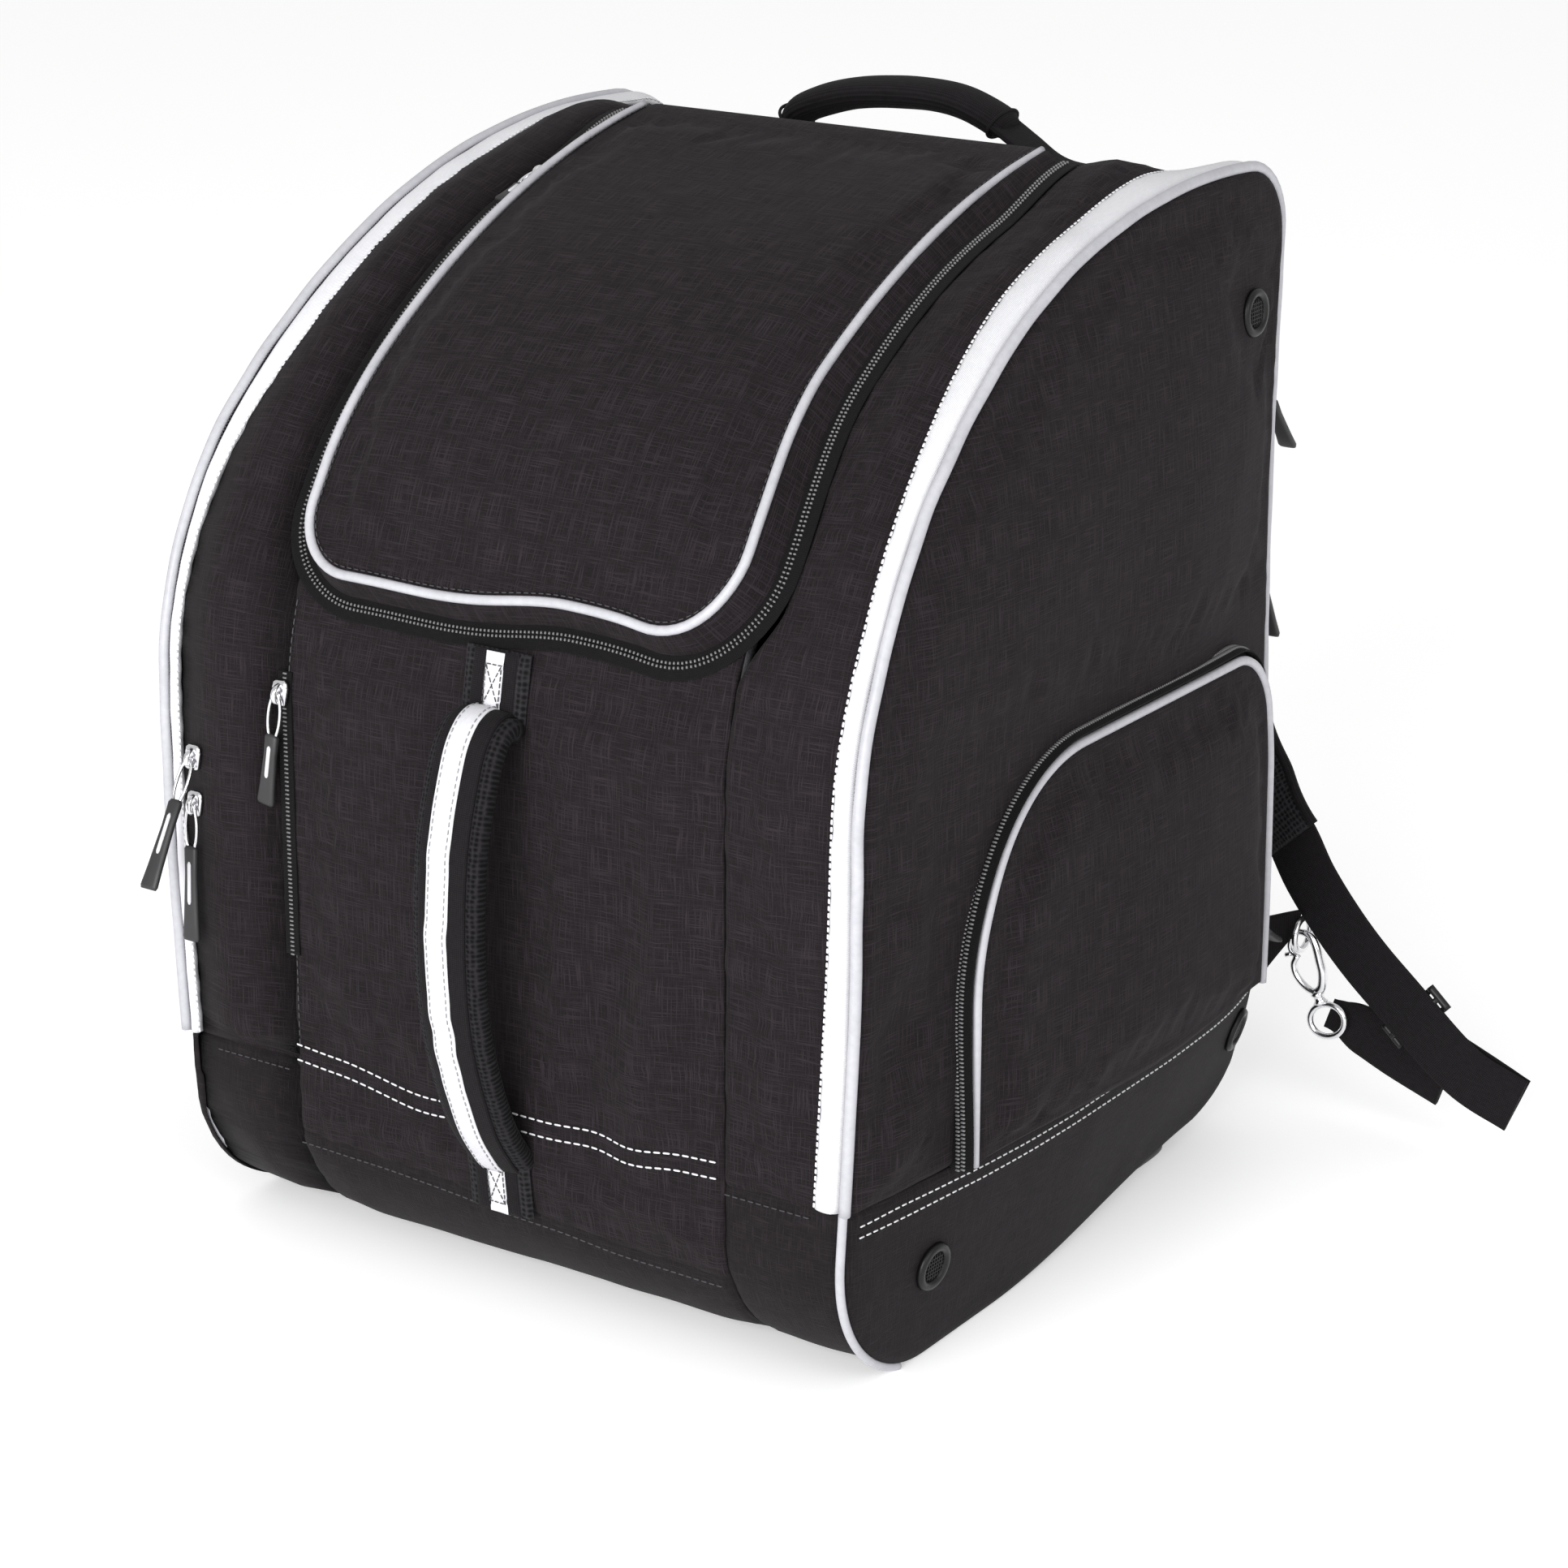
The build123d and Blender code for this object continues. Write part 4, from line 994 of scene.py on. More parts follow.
def build_flap_cloth():
    """Puffy flap, which bends where it is sewn to the top."""
    low = flap_bottom(np.zeros(1))[0]
    corner = FLAP_CORNERS[1]
    length = S_FLAP_HINGE + 12 * MM - low
    round_the_corner = length - corner + corner * np.sin(np.radians(np.linspace(6, 90, 16)))
    down = np.concatenate([np.linspace(0, length - corner, 72), round_the_corner])
    share = np.concatenate([[-1.0, -0.985, -0.96], np.linspace(-0.93, 0.93, 56), [0.96, 0.985, 1.0]])
    v, u = np.meshgrid(down, share, indexing="ij")
    d = length - v

    def half(sign):
        """The flap's half width on one side, drawn in round its bottom corner."""
        r = FLAP_CORNERS[sign]
        inside = np.clip(r - d, 0, r)
        return PIPE_HALF - r + np.sqrt(np.maximum(r * r - inside * inside, 0))

    x = np.where(u < 0, u * half(-1), u * half(1))
    s = S_FLAP_HINGE + 12 * MM - v
    near_bottom = smooth((low + 60 * MM - s) / (60 * MM))
    x = x + flap_sway(x, s)
    s = s + (flap_bottom(x) - low) * near_bottom
    to_edge = np.minimum((1 - np.abs(u)) * PIPE_HALF, d)
    rise = smooth((S_FLAP_HINGE - s) / (30 * MM))
    forward = smooth((top_at(40 * MM) - s) / (110 * MM))
    puff = (6.5 * MM * forward - 2.5 * MM * (1 - forward)) * (1 - np.abs(u) ** 3)
    puff = puff * smooth(d / (90 * MM)) * rise
    gathers = (creases(x, s, 71) * 0.8 + puckers(s, to_edge, 73, 0.5)) * smooth(to_edge / (8 * MM))
    height = flap_height(s) + puff + gathers * rise - 1.2 * MM * (1 - smooth(to_edge / (5 * MM)))
    behind = smooth((s - S_FLAP_HINGE) / (11 * MM))
    height = height * (1 - behind) + 0.8 * MM * behind
    outer = skin(x, s, height)
    inner = skin(x, s, np.maximum(height - 9 * MM, 1.2 * MM) - 0.8 * MM * (s > S_FLAP_HINGE))
    free = smooth((to_edge - 4 * MM) / (14 * MM)) * smooth((S_FLAP_HINGE - 6 * MM - s) / (20 * MM))
    outer = settle(outer, outer - inner, free)
    cloth = slab("flap_cloth", outer, inner, np.stack([x, s], -1), "shell_fabric")
    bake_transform(cloth)
    label(cloth, "shell_fabric", "helmet_flap")


def build_flap_boxing():
    """The gathered strip between the flap's piping and its zip."""
    x0, s0 = flap_rim(0.0)
    x1, s1 = flap_rim(ZIP_OUT - 4 * MM)
    rows = np.linspace(0, 1, 9)[:, None]
    x = x0 + rows * (x1 - x0)
    s = s0 + rows * (s1 - s0)
    edge = flap_height(s0)
    drop = smooth(rows * 0.92 + 0.04)
    height = edge * (1 - drop) + 1.6 * MM * drop + 1.6 * MM * np.sin(math.pi * rows) - 0.8 * MM
    height = height + puckers(s + x, rows * 10 * MM, 75, 0.5)
    outer = skin(x, s, height)
    inner = skin(x, s, height - 1.4 * MM)
    around = np.concatenate([[0.0], np.cumsum(np.hypot(np.diff(x0), np.diff(s0)))])
    uvs = np.stack(np.broadcast_arrays(around, rows * 14 * MM), -1)
    boxing = slab("flap_boxing", outer, inner, uvs, "shell_fabric")
    attach(boxing, "helmet_flap", "shell_fabric")


def build_flap_piping():
    """Piping round the flap and the dark stitching inside it."""
    x0, s0 = flap_rim(0.0)
    ripple = 0.35 * MM * lumps(s0 + x0, 0 * s0, 16 * MM, 77)
    path = skin(x0 + ripple, s0, flap_height(s0) + 0.6 * MM + ripple)
    fade = 0.72 + 0.28 * smooth((S_FLAP_HINGE - s0) / (110 * MM))
    cord = round_section(PIPING)
    piping = sweep("flap_piping_cord", path, skin_normal(s0), cord, "white_piping", size=fade)
    attach(piping, "helmet_flap", "white_piping", "flap_piping")
    seam_x, seam_s = flap_rim(-3.2 * MM)
    seam = skin(seam_x, seam_s, flap_height(seam_s) + 0.5 * MM)
    row = stitches("flap_top_stitching", seam, skin_normal(seam_s), "dark_thread", 2.6, 1.2, 0.6)
    attach(row, "helmet_flap", "shell_fabric")


def build_flap_zip():
    """The zip's two tapes and rows of teeth, one on the flap and one on the body."""
    zip_x, zip_s = flap_rim(ZIP_OUT)
    centre = skin(zip_x, zip_s, 1.0 * MM)
    normals = skin_normal(zip_s)
    for name, side, body in (("flap_zip_tape", -1, "helmet_flap"), ("body_zip_tape", 1, "bag_body")):
        tape_x, tape_s = flap_rim(ZIP_OUT + side * (ZIP_HALF / 2 + 0.05 * MM))
        tape = skin(tape_x, tape_s, 0.7 * MM)
        strip = sweep(name, tape, normals, flat_section(ZIP_HALF, 0.8 * MM), "zip_tape")
        nodes = ["body_zip_coils"] if body == "bag_body" else []
        attach(strip, body, "zip_coil", *nodes)
        teeth = zip_teeth(f"{name}_teeth", centre, normals, (-side * 1.0,), 2.1, "coil_painted_glints", 1.3)
        attach(teeth, body, "zip_coil")


# ---------------------------------------------------------------- doors
DOOR_LOW = BAND_TOP + 2 * MM
DOOR_MIDDLE = (20 * MM, 250 * MM)  # depth and height of the doors' middle
DOOR_VENT = (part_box("right_door_vent")[0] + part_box("right_door_vent")[1]) / 2
POCKET_LOW_BOX, POCKET_HIGH_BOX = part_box("right_pocket")


def side_loop(out, low, step=6.0):
    """Closed loop (y, z, s) round the side above height low; s is -1 along its bottom edge."""
    s = np.arange(front_at(low), back_at(low), step * MM)
    y, z = outline_at(s, out + stuffing(s))
    bottom = np.arange(y[-1] - step * MM, y[0] + step * MM / 2, -step * MM)
    y = np.concatenate([y, bottom])
    z = np.concatenate([z, np.full(len(bottom), low)])
    return y, z, np.concatenate([s, np.full(len(bottom), -1.0)])


def door_bow(y, z):
    """How far the door bows outward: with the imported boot, and low down to meet the lower side."""
    low_swell = 0.8 * (belly(y, BAND_TOP) - seam_bow(y, BAND_TOP))
    return seam_bow(y, z) + low_swell * (1 - smooth((z - BAND_TOP) / (80 * MM)))


def door_loose(y, z):
    """1 where the door is not held by its pocket or its vent."""
    past_pocket = np.maximum(POCKET_LOW_BOX.y - y, z - POCKET_HIGH_BOX.z)
    past_vent = np.hypot(y - DOOR_VENT.y, z - DOOR_VENT.z)
    return smooth((past_pocket - 8 * MM) / (22 * MM)) * smooth((past_vent - 13 * MM) / (18 * MM))


def build_door_cloth(side, sign):
    """Soft door with a rolled edge, settled between its pocket, vent and seam."""
    y, z, _ = side_loop(0.0, DOOR_LOW)
    share = np.concatenate([np.linspace(0.01, 0.95, 34), [0.965, 0.98, 0.99, 1.0]])[:, None]
    ys = DOOR_MIDDLE[0] + share * (y - DOOR_MIDDLE[0])
    zs = DOOR_MIDDLE[1] + share * (z - DOOR_MIDDLE[1])
    reach = np.hypot(y - DOOR_MIDDLE[0], z - DOOR_MIDDLE[1])
    to_edge = (1 - share) * reach
    bulge = 5 * MM * smooth(to_edge / (90 * MM))
    bulge = bulge + creases(ys, zs, 81 + sign) * smooth(to_edge / (20 * MM))
    bulge = bulge + puckers(ys + zs, to_edge, 83, 0.4) + seam_roll(to_edge, 2.2, 5)
    outer_x = DOOR_OUT + door_bow(ys, zs) + bulge
    inner_x = DOOR_IN + door_bow(ys, zs) + 0.2 * MM * lumps(ys, zs, 30 * MM, 85)
    loop = np.stack([y, z], -1)
    move_at = settled_face(
        loop, DOOR_MIDDLE, lambda ay, az: DOOR_OUT + door_bow(ay, az), sign, door_loose
    )
    outer = np.stack([sign * outer_x, ys, zs], -1) + move_at(ys, zs)
    inner = np.stack([sign * inner_x, ys, zs], -1)
    cloth = slab(f"{side}_door_cloth", outer, inner, np.stack([ys, zs], -1), "shell_fabric", wrap=True)
    attach(cloth, f"{side}_door", "shell_fabric", f"{side}_door")


def build_door_lining(side, sign):
    """The door's lining, just inside its cloth."""
    y, z, _ = side_loop(0.0, DOOR_LOW)
    lining_share = np.concatenate([np.linspace(0.01, 0.95, 34), [0.965]])[:, None] * 0.99
    ys = DOOR_MIDDLE[0] + lining_share * (y - DOOR_MIDDLE[0])
    zs = DOOR_MIDDLE[1] + lining_share * (z - DOOR_MIDDLE[1])
    face = DOOR_IN + door_bow(ys, zs) - 1.4 * MM + 0.6 * MM * lumps(ys, zs, 45 * MM, 87)
    lining = slab(
        f"{side}_door_lining",
        np.stack([sign * face, ys, zs], -1),
        np.stack([sign * (face + 0.7 * MM), ys, zs], -1),
        np.stack([ys, zs], -1),
        "lining",
        wrap=True,
    )
    attach(lining, f"{side}_door", "lining")


def build_door_piping(side, sign):
    """White piping round the door, except along its hinge."""
    _, _, s = side_loop(0.0, DOOR_LOW)
    s = s[s > 0]
    normals = skin_normal(s)
    ripple = 0.3 * MM * lumps(s, 0 * s, 20 * MM, 88)
    py, pz = outline_at(s, 2.4 * MM + stuffing(s))
    path = np.stack([sign * (DOOR_IN + 2.4 * MM + seam_bow(py, pz) + ripple), py, pz], -1)
    cord = round_section(PIPING * 1.15)
    piping = sweep(f"{side}_door_piping_cord", path, normals, cord, "white_piping")
    attach(piping, f"{side}_door", "white_piping", f"{side}_door_piping")


def build_door_tape(side, sign):
    """White zip tape along the gusset's edge, with its stitched, slightly scalloped inner edge."""
    s = np.arange(front_at(DOOR_LOW), back_at(DOOR_LOW), 3 * MM)
    x_out = SIDE + side_bow(s) + 0.6 * MM
    normals = skin_normal(s)
    if side == "right":
        narrow = 3.5 * MM * hump(s, front_at(320 * MM), 200 * MM)
        laid_flat = 4.5 * MM * smooth((s - front_at(370 * MM)) / (140 * MM))
        width = 11.5 * MM - narrow + laid_flat
    else:
        width = 5 * MM + 8 * MM * smooth((s - front_at(300 * MM)) / (140 * MM))
    wave = 0.25 * MM * np.sin(s / (2.2 * MM))
    columns = np.linspace(0, 1, 9)
    x = x_out[:, None] - columns * (width + wave)[:, None]
    crown = 1.6 * MM * np.sin(math.pi * columns) ** 0.7 - 1.6 * MM * (1 - smooth(columns * 3.5))
    lift = 2.8 * MM + crown[None, :] + 0.4 * MM * lumps(s[:, None], 0 * x, 18 * MM, 91)
    outer = skin(sign * x, s[:, None], lift)
    inner = skin(sign * x, s[:, None], 0.3 * MM + 0 * x)
    uvs = np.stack(np.broadcast_arrays(x, s[:, None]), -1)
    tape = slab(f"{side}_door_tape", outer, inner, uvs, "white_tape")
    attach(tape, "bag_body", "white_tape", "door_zip_tapes")
    path = skin(sign * (x_out - width - 0.2 * MM), s, 3.0 * MM)
    row = stitches(f"{side}_door_tape_stitches", path, normals, "thread", 2.2, 0.9, 1.2, 0.1)
    attach(row, "bag_body", "white_tape")
    teeth = skin(sign * (x_out + 1.2 * MM), s, 1.2 * MM)
    coil = zip_teeth(f"{side}_door_zip_teeth", teeth, normals, (0.0,), 1.6)
    attach(coil, "bag_body", "zip_coil")


def build_lower_piping(side, sign):
    """Piping round the lower front corner, under the door."""
    s = np.linspace(front_at(3 * MM), front_at(DOOR_LOW), 70)
    tucked = 1.6 * MM if side == "right" else -3.5 * MM
    path = skin(sign * (SIDE + 2.5 * MM + side_bow(s)), s, tucked)
    piping = sweep(
        f"{side}_lower_piping_cord", path, skin_normal(s), round_section(PIPING * 0.9), "white_piping"
    )
    attach(piping, "bag_body", "white_piping", "lower_piping")


# ---------------------------------------------------------------- lower sides
def belly(y, z):
    """How far the lower side stands out, like the CAD skin, with the slack of real cloth."""
    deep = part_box("right_lower_side")[1].x - SIDE - 5.5 * MM
    share = np.abs(y / BACK)
    round_off = np.where(np.asarray(y) > 0, share**3.4, share**2)
    return deep * z / BAND_TOP * (1 - round_off) + seam_bow(y, z) * round_off


def lower_side_grid(sign):
    """Places (x, y, z) over one lower side, rows from the bottom up."""
    columns = FRONT + spaced(BACK - FRONT, 5 * MM)
    foot = FOOT_START - FRONT
    front_drop = foot - np.sqrt(np.maximum(foot**2 - np.clip(FOOT_START - columns, 0, foot) ** 2, 0))
    rear_in = np.clip(columns - (BACK - REAR_FOOT_RADIUS), 0, REAR_FOOT_RADIUS)
    rear_drop = REAR_FOOT_RADIUS - np.sqrt(np.maximum(REAR_FOOT_RADIUS**2 - rear_in**2, 0))
    low = np.maximum(front_drop, rear_drop)
    low = low + rear_lift(columns) * (1 - smooth(low / (60 * MM)))
    share = spaced(BAND_TOP, 5 * MM)[:, None] / BAND_TOP
    z = low + share * (BAND_TOP + 1.5 * MM - low)
    y = np.broadcast_to(columns, z.shape)
    x = SIDE + 5.2 * MM + belly(y, z) - rear_tuck(y, z)
    edge = np.minimum(share, 1 - share) * (BAND_TOP - low)
    ends = np.minimum(y - FRONT, BACK - y)
    soft = creases(y, z, 95 + sign) * 0.8 + puckers(y, (1 - share) * BAND_TOP, 97, 0.8)
    x = x + soft * smooth(np.minimum(edge, ends) / (14 * MM))
    x = x + seam_roll(edge, 1.6) + seam_roll(ends, 2.5)
    return x, y, z


def build_lower_side(side, sign):
    """Bowed coated side below the door, with double stitching along its top edge."""
    x, y, z = lower_side_grid(sign)
    outer = np.stack([sign * x, y, z], -1)
    inner = np.stack([sign * (x - 3 * MM), y, z], -1)
    cloth = slab(f"{side}_lower_side_cloth", outer, inner, np.stack([y, z], -1), "coated_fabric")
    attach(cloth, "bag_body", "coated_fabric", f"{side}_lower_side")
    for index, drop in enumerate((4.5, 10.5)):
        row_y = np.linspace(FRONT + 5 * MM, BACK - 6 * MM, 90)
        row_z = BAND_TOP - drop * MM + 0.5 * MM * lumps(row_y, 0 * row_y, 30 * MM, 98 + index)
        row_x = SIDE + 5.2 * MM + belly(row_y, row_z) + 1.0 * MM
        path = np.stack([sign * row_x, row_y, row_z], -1)
        row = stitches(f"{side}_side_stitches_{index}", path, (sign, 0, 0), "thread", 3.0, 1.4, 0.8)
        attach(row, "bag_body", "white_tape")


# ---------------------------------------------------------------- side pockets
POCKET_WALL = 21 * MM
POCKET_CORNERS = (95 * MM, 32 * MM)  # front and back top corners
POCKET_MIDDLE = np.array([25 * MM, 150 * MM])  # depth and height of the pocket's middle


def pocket_loop(inset):
    """Closed loop (y, z) of the pocket's outline, and which part each point is on: 1 is the bottom."""
    left, right = POCKET_LOW_BOX.y + inset, POCKET_HIGH_BOX.y - inset
    low, high = POCKET_LOW_BOX.z, POCKET_HIGH_BOX.z - inset
    front, rear = POCKET_CORNERS[0] - inset, POCKET_CORNERS[1] - inset / 2
    up = np.linspace((left, low), (left, high - front), 24)[:-1]
    a = np.radians(np.linspace(180, 90, 34))
    turn = np.stack([left + front + front * np.cos(a), high - front + front * np.sin(a)], 1)
    over = np.linspace((left + front, high), (right - rear, high), 32)[1:-1]
    a = np.radians(np.linspace(90, 0, 16))
    rear_turn = np.stack([right - rear + rear * np.cos(a), high - rear + rear * np.sin(a)], 1)
    down = np.linspace((right, high - rear), (right, low), 30)[1:]
    back = np.linspace((right, low), (left, low), 54)[1:-1]
    loop = np.concatenate([up, turn, over, rear_turn, down, back])
    on_bottom = np.zeros(len(loop))
    on_bottom[-len(back) :] = 1
    return loop, on_bottom


def pocket_face(y, z):
    """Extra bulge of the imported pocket's face, most at its low middle."""
    across = hump(y, 30 * MM, 150 * MM)
    up = hump(z, 125 * MM, 150 * MM)
    return 11 * MM * across * up


def build_pocket_cloth(side, sign, base, rim, on_bottom):
    """The pocket's face and the boxing that joins it to the door; returns their x along both edges."""
    start_x = DOOR_OUT + 1.0 * MM + door_bow(base[:, 0], base[:, 1])
    share = np.concatenate([np.linspace(0.01, 0.93, 26), [0.95, 0.97, 0.985, 1.0]])[:, None]
    rim_rows = len(share)
    ys = POCKET_MIDDLE[0] + share * (rim[:, 0] - POCKET_MIDDLE[0])
    zs = POCKET_MIDDLE[1] + share * (rim[:, 1] - POCKET_MIDDLE[1])
    to_edge = (1 - share) * np.hypot(*(rim - POCKET_MIDDLE).T)
    lean = 3 * MM * smooth((zs - 200 * MM) / (60 * MM))
    swell = pocket_face(ys, zs) + 2.5 * MM * smooth(to_edge / (40 * MM))
    face = DOOR_OUT + POCKET_WALL - lean + swell
    gathers = creases(ys, zs, 101 + sign) + puckers(ys + zs, to_edge, 103, 0.5)
    face = face + gathers * smooth(to_edge / (12 * MM)) + seam_roll(to_edge, 1.5)
    edge_face = face[-1]

    rows = np.linspace(0, 1, 10)[1:, None]
    out_y, out_z = (base - POCKET_MIDDLE).T
    size = np.hypot(out_y, out_z)
    swell = np.sin(math.pi * rows) * 2.2 * MM * (1 - on_bottom)
    wall_y = rim[:, 0] + rows * (base[:, 0] - rim[:, 0]) + swell * out_y / size
    wall_z = rim[:, 1] + rows * (base[:, 1] - rim[:, 1]) + swell * out_z / size
    wall_x = edge_face + rows * (start_x - edge_face)
    ys = np.concatenate([ys, wall_y])
    zs = np.concatenate([zs, wall_z])
    xs = np.concatenate([face, wall_x])
    outer = np.stack([sign * xs, ys, zs], -1)
    face_only = outer[:rim_rows]
    move_at = settled_face(
        rim, POCKET_MIDDLE, lambda ay, az: DOOR_OUT + POCKET_WALL + pocket_face(ay, az), sign
    )
    face_only += move_at(face_only[..., 1], face_only[..., 2])

    thin = 2.5 * MM
    toward = unit(np.stack([ys - POCKET_MIDDLE[0], zs - POCKET_MIDDLE[1]], -1))
    inner_x = np.concatenate([xs[:rim_rows] - thin, np.minimum(xs[rim_rows:], edge_face - thin)])
    pull_in = np.concatenate([np.zeros(rim_rows), np.full(len(rows), thin)])[:, None]
    inner = [sign * inner_x, ys - pull_in * toward[..., 0], zs - pull_in * toward[..., 1]]
    uvs = np.stack([ys + xs * 0.5, zs], -1)
    name = f"{side}_pocket_cloth"
    cloth = slab(name, outer, np.stack(inner, -1), uvs, "shell_fabric", wrap=True)
    attach(cloth, f"{side}_pocket", "shell_fabric", f"{side}_pocket")
    return edge_face, start_x


def build_pocket(side, sign):
    """Boxed pocket on the door, with piping round its face and a coil zip round its boxing."""
    base, on_bottom = pocket_loop(0.0)
    rim, _ = pocket_loop(5.5 * MM)
    edge_face, start_x = build_pocket_cloth(side, sign, base, rim, on_bottom)
    body = f"{side}_pocket"
    seen = on_bottom == 0
    out_y, out_z = (base - POCKET_MIDDLE).T
    outward = unit(np.stack([0 * out_y, out_y, out_z], -1))[seen]

    corner = np.stack([sign * (edge_face[seen] + 0.4 * MM), rim[seen, 0], rim[seen, 1]], -1)
    normals = unit(outward * 0.6 + np.array([sign * 0.8, 0, 0]))
    cord = round_section(PIPING)
    add_strand(f"{body}_piping_cord", corner + outward * 0.8 * MM, normals, cord, "white_piping", body)

    share = 0.52  # the zip's place between the pocket's face and the door
    zip_y, zip_z = (rim + share * (base - rim)).T
    zip_x = edge_face + share * (start_x - edge_face)
    path = np.stack([sign * zip_x, zip_y, zip_z], -1)[seen] + outward * 2.6 * MM
    tape = flat_section(12 * MM, 1.0 * MM)
    add_strand(f"{body}_zip_tape", path, outward, tape, "zip_tape", body, slot="zip_coil")
    path = path + outward * 0.5 * MM
    teeth = zip_teeth(f"{body}_zip_teeth", path, outward, (-1.3, 1.3), 1.8, "coil_painted_glints")
    attach(teeth, body, "zip_coil")


# ---------------------------------------------------------------- paths and small shapes
def path_through(points, step=2.0):
    """A smooth curve through points, with places about step millimetres apart."""
    p = np.asarray(points, float)
    p = np.concatenate([[2 * p[0] - p[1]], p, [2 * p[-1] - p[-2]]])
    out = []
    for a, b, c, d in zip(p, p[1:], p[2:], p[3:]):
        count = max(2, int(np.linalg.norm(c - b) / (step * MM)))
        t = np.linspace(0, 1, count, endpoint=False)[:, None]
        bend = (2 * a - 5 * b + 4 * c - d) * t**2 + (3 * b - a - 3 * c + d) * t**3
        out.append(0.5 * (2 * b + (c - a) * t + bend))
    return np.concatenate([*out, [p[-2]]])


def in_millimetres(*points):
    """Points given in millimetres, as metres."""
    return np.array(points, float) * MM


def loop_path(centre, across, up, width, height, count=40):
    """A closed oval path in the plane of two directions."""
    angle = np.linspace(0, 2 * math.pi, count, endpoint=False)
    across, up = np.array(across, float), np.array(up, float)
    return (
        np.array(centre)
        + np.outer(np.cos(angle) * width / 2, across)
        + np.outer(np.sin(angle) * height / 2, up)
    )


def ring(name, centre, across, up, width, height, wire, look):
    """A closed wire ring; wire is its thickness."""
    path = loop_path(centre, across, up, width, height)
    normal = np.cross(across, up)
    return sweep(name, path, normal, round_section(wire / 2), look, closed=True)


def patch(name, centre, across, up, width, height, thickness, look, seed=1):
    """A sewn patch with soft rounded edges, lying in the plane of two directions."""
    across, up = np.array(across, float), np.array(up, float)
    out = np.cross(across, up)
    a = spaced(width, 2.5 * MM, (0.4, 1.0, 2.0)) - width / 2
    b = spaced(height, 2.5 * MM, (0.4, 1.0, 2.0)) - height / 2
    b, a = np.meshgrid(b, a, indexing="ij")
    edge = np.minimum(width / 2 - np.abs(a), height / 2 - np.abs(b))
    rise = thickness * (0.35 + 0.65 * smooth(edge / (2 * MM))) + 0.25 * MM * lumps(a, b, 8 * MM, seed)
    flat = np.array(centre) + a[..., None] * across + b[..., None] * up
    return slab(name, flat + rise[..., None] * out, flat, np.stack([a, b], -1), look)


def box_stitch(name, centre, across, up, width, height, look):
    """A sewn rectangle with a cross in it."""
    across, up = np.array(across, float), np.array(up, float)
    out = np.cross(across, up)
    corners = [
        np.array(centre) + sx * across * width / 2 + sy * up * height / 2
        for sx, sy in ((-1, -1), (1, -1), (1, 1), (-1, 1))
    ]
    runs = [(0, 1), (1, 2), (2, 3), (3, 0), (0, 2), (1, 3)]
    batches = []
    for start, end in runs:
        path = np.linspace(corners[start], corners[end], 12)
        batches.append(resample(path, out, 2.9 * MM, 0.8 * MM))
    places, tangents, outs = (np.concatenate(part) for part in zip(*batches))
    return scatter(name, bead(2.3 * MM, 0.55 * MM, 0.5 * MM), places, tangents, outs, look)


# ---------------------------------------------------------------- double stitching and front pocket zip
def build_front_details():
    """Double white stitching across the front, the front pocket's zip, dark seam stitching."""
    x = np.linspace(-SEAM_X + 2 * MM, SEAM_X - 2 * MM, 120)
    for index, height in enumerate((97, 89.5)):
        ends = 3 * MM * (x / SEAM_X) ** 2
        dips = 5 * MM * hump(x, -45 * MM, 48 * MM) + 1.5 * MM * hump(x, 71 * MM, 25 * MM)
        s = front_at(height * MM) + 0.6 * MM * lumps(x, 0 * x, 30 * MM, 111) + ends - dips
        path = skin(x, s, front_bulge(x, s) + creases(x, s, 11) + 0.4 * MM)
        row = stitches(f"front_stitches_{index}", path, skin_normal(s), "thread", 3.4, 1.2, 0.95)
        attach(row, "bag_body", "white_tape")
    s = band_edge(x) - 4 * MM
    row = stitches("band_stitches", skin(x, s, 1.9 * MM), skin_normal(s), "dark_thread", 2.8, 1.2, 0.6)
    attach(row, "bag_body", "coated_fabric")
    for side, sign in SIDES.items():
        x_band = sign * np.linspace(SEAM_X + 2 * MM, SIDE - 9 * MM, 30)
        s = np.full(30, S_BAND - 4 * MM)
        path = skin(x_band, s, 1.6 * MM)
        row = stitches(f"{side}_band_stitches", path, skin_normal(s), "dark_thread", 2.8, 1.2, 0.6)
        attach(row, "bag_body", "coated_fabric")

    slider_low, slider_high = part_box("front_pocket_slider")
    low, high = slider_low.z - 118 * MM, slider_high.z + 4 * MM
    s = np.linspace(front_at(low), front_at(high), 60)
    normals = skin_normal(s)
    zip_x = -SEAM_X + 1.5 * MM + 0 * s
    tape = flat_section(8 * MM, 0.9 * MM)
    path = skin(zip_x, s, 0.5 * MM)
    add_strand("front_zip_tape", path, normals, tape, "zip_tape", "bag_body", slot="zip_coil")
    path = skin(zip_x, s, 0.4 * MM)
    teeth = zip_teeth("front_zip_teeth", path, normals, (0.0,), 2.0, "coil_painted_glints")
    attach(teeth, "bag_body", "zip_coil")
    seams = (("front_seam_low", 100 * MM, low), ("front_seam_high", high, FLAP_BOTTOM - 8 * MM))
    for name, start, end in seams:
        s = np.linspace(front_at(start), front_at(end), 40)
        path = skin(-SEAM_X + 3.5 * MM, s, 0.2 * MM)
        row = stitches(name, path, skin_normal(s), "dark_thread", 3, 1.2, 0.6)
        attach(row, "bag_body", "shell_fabric")


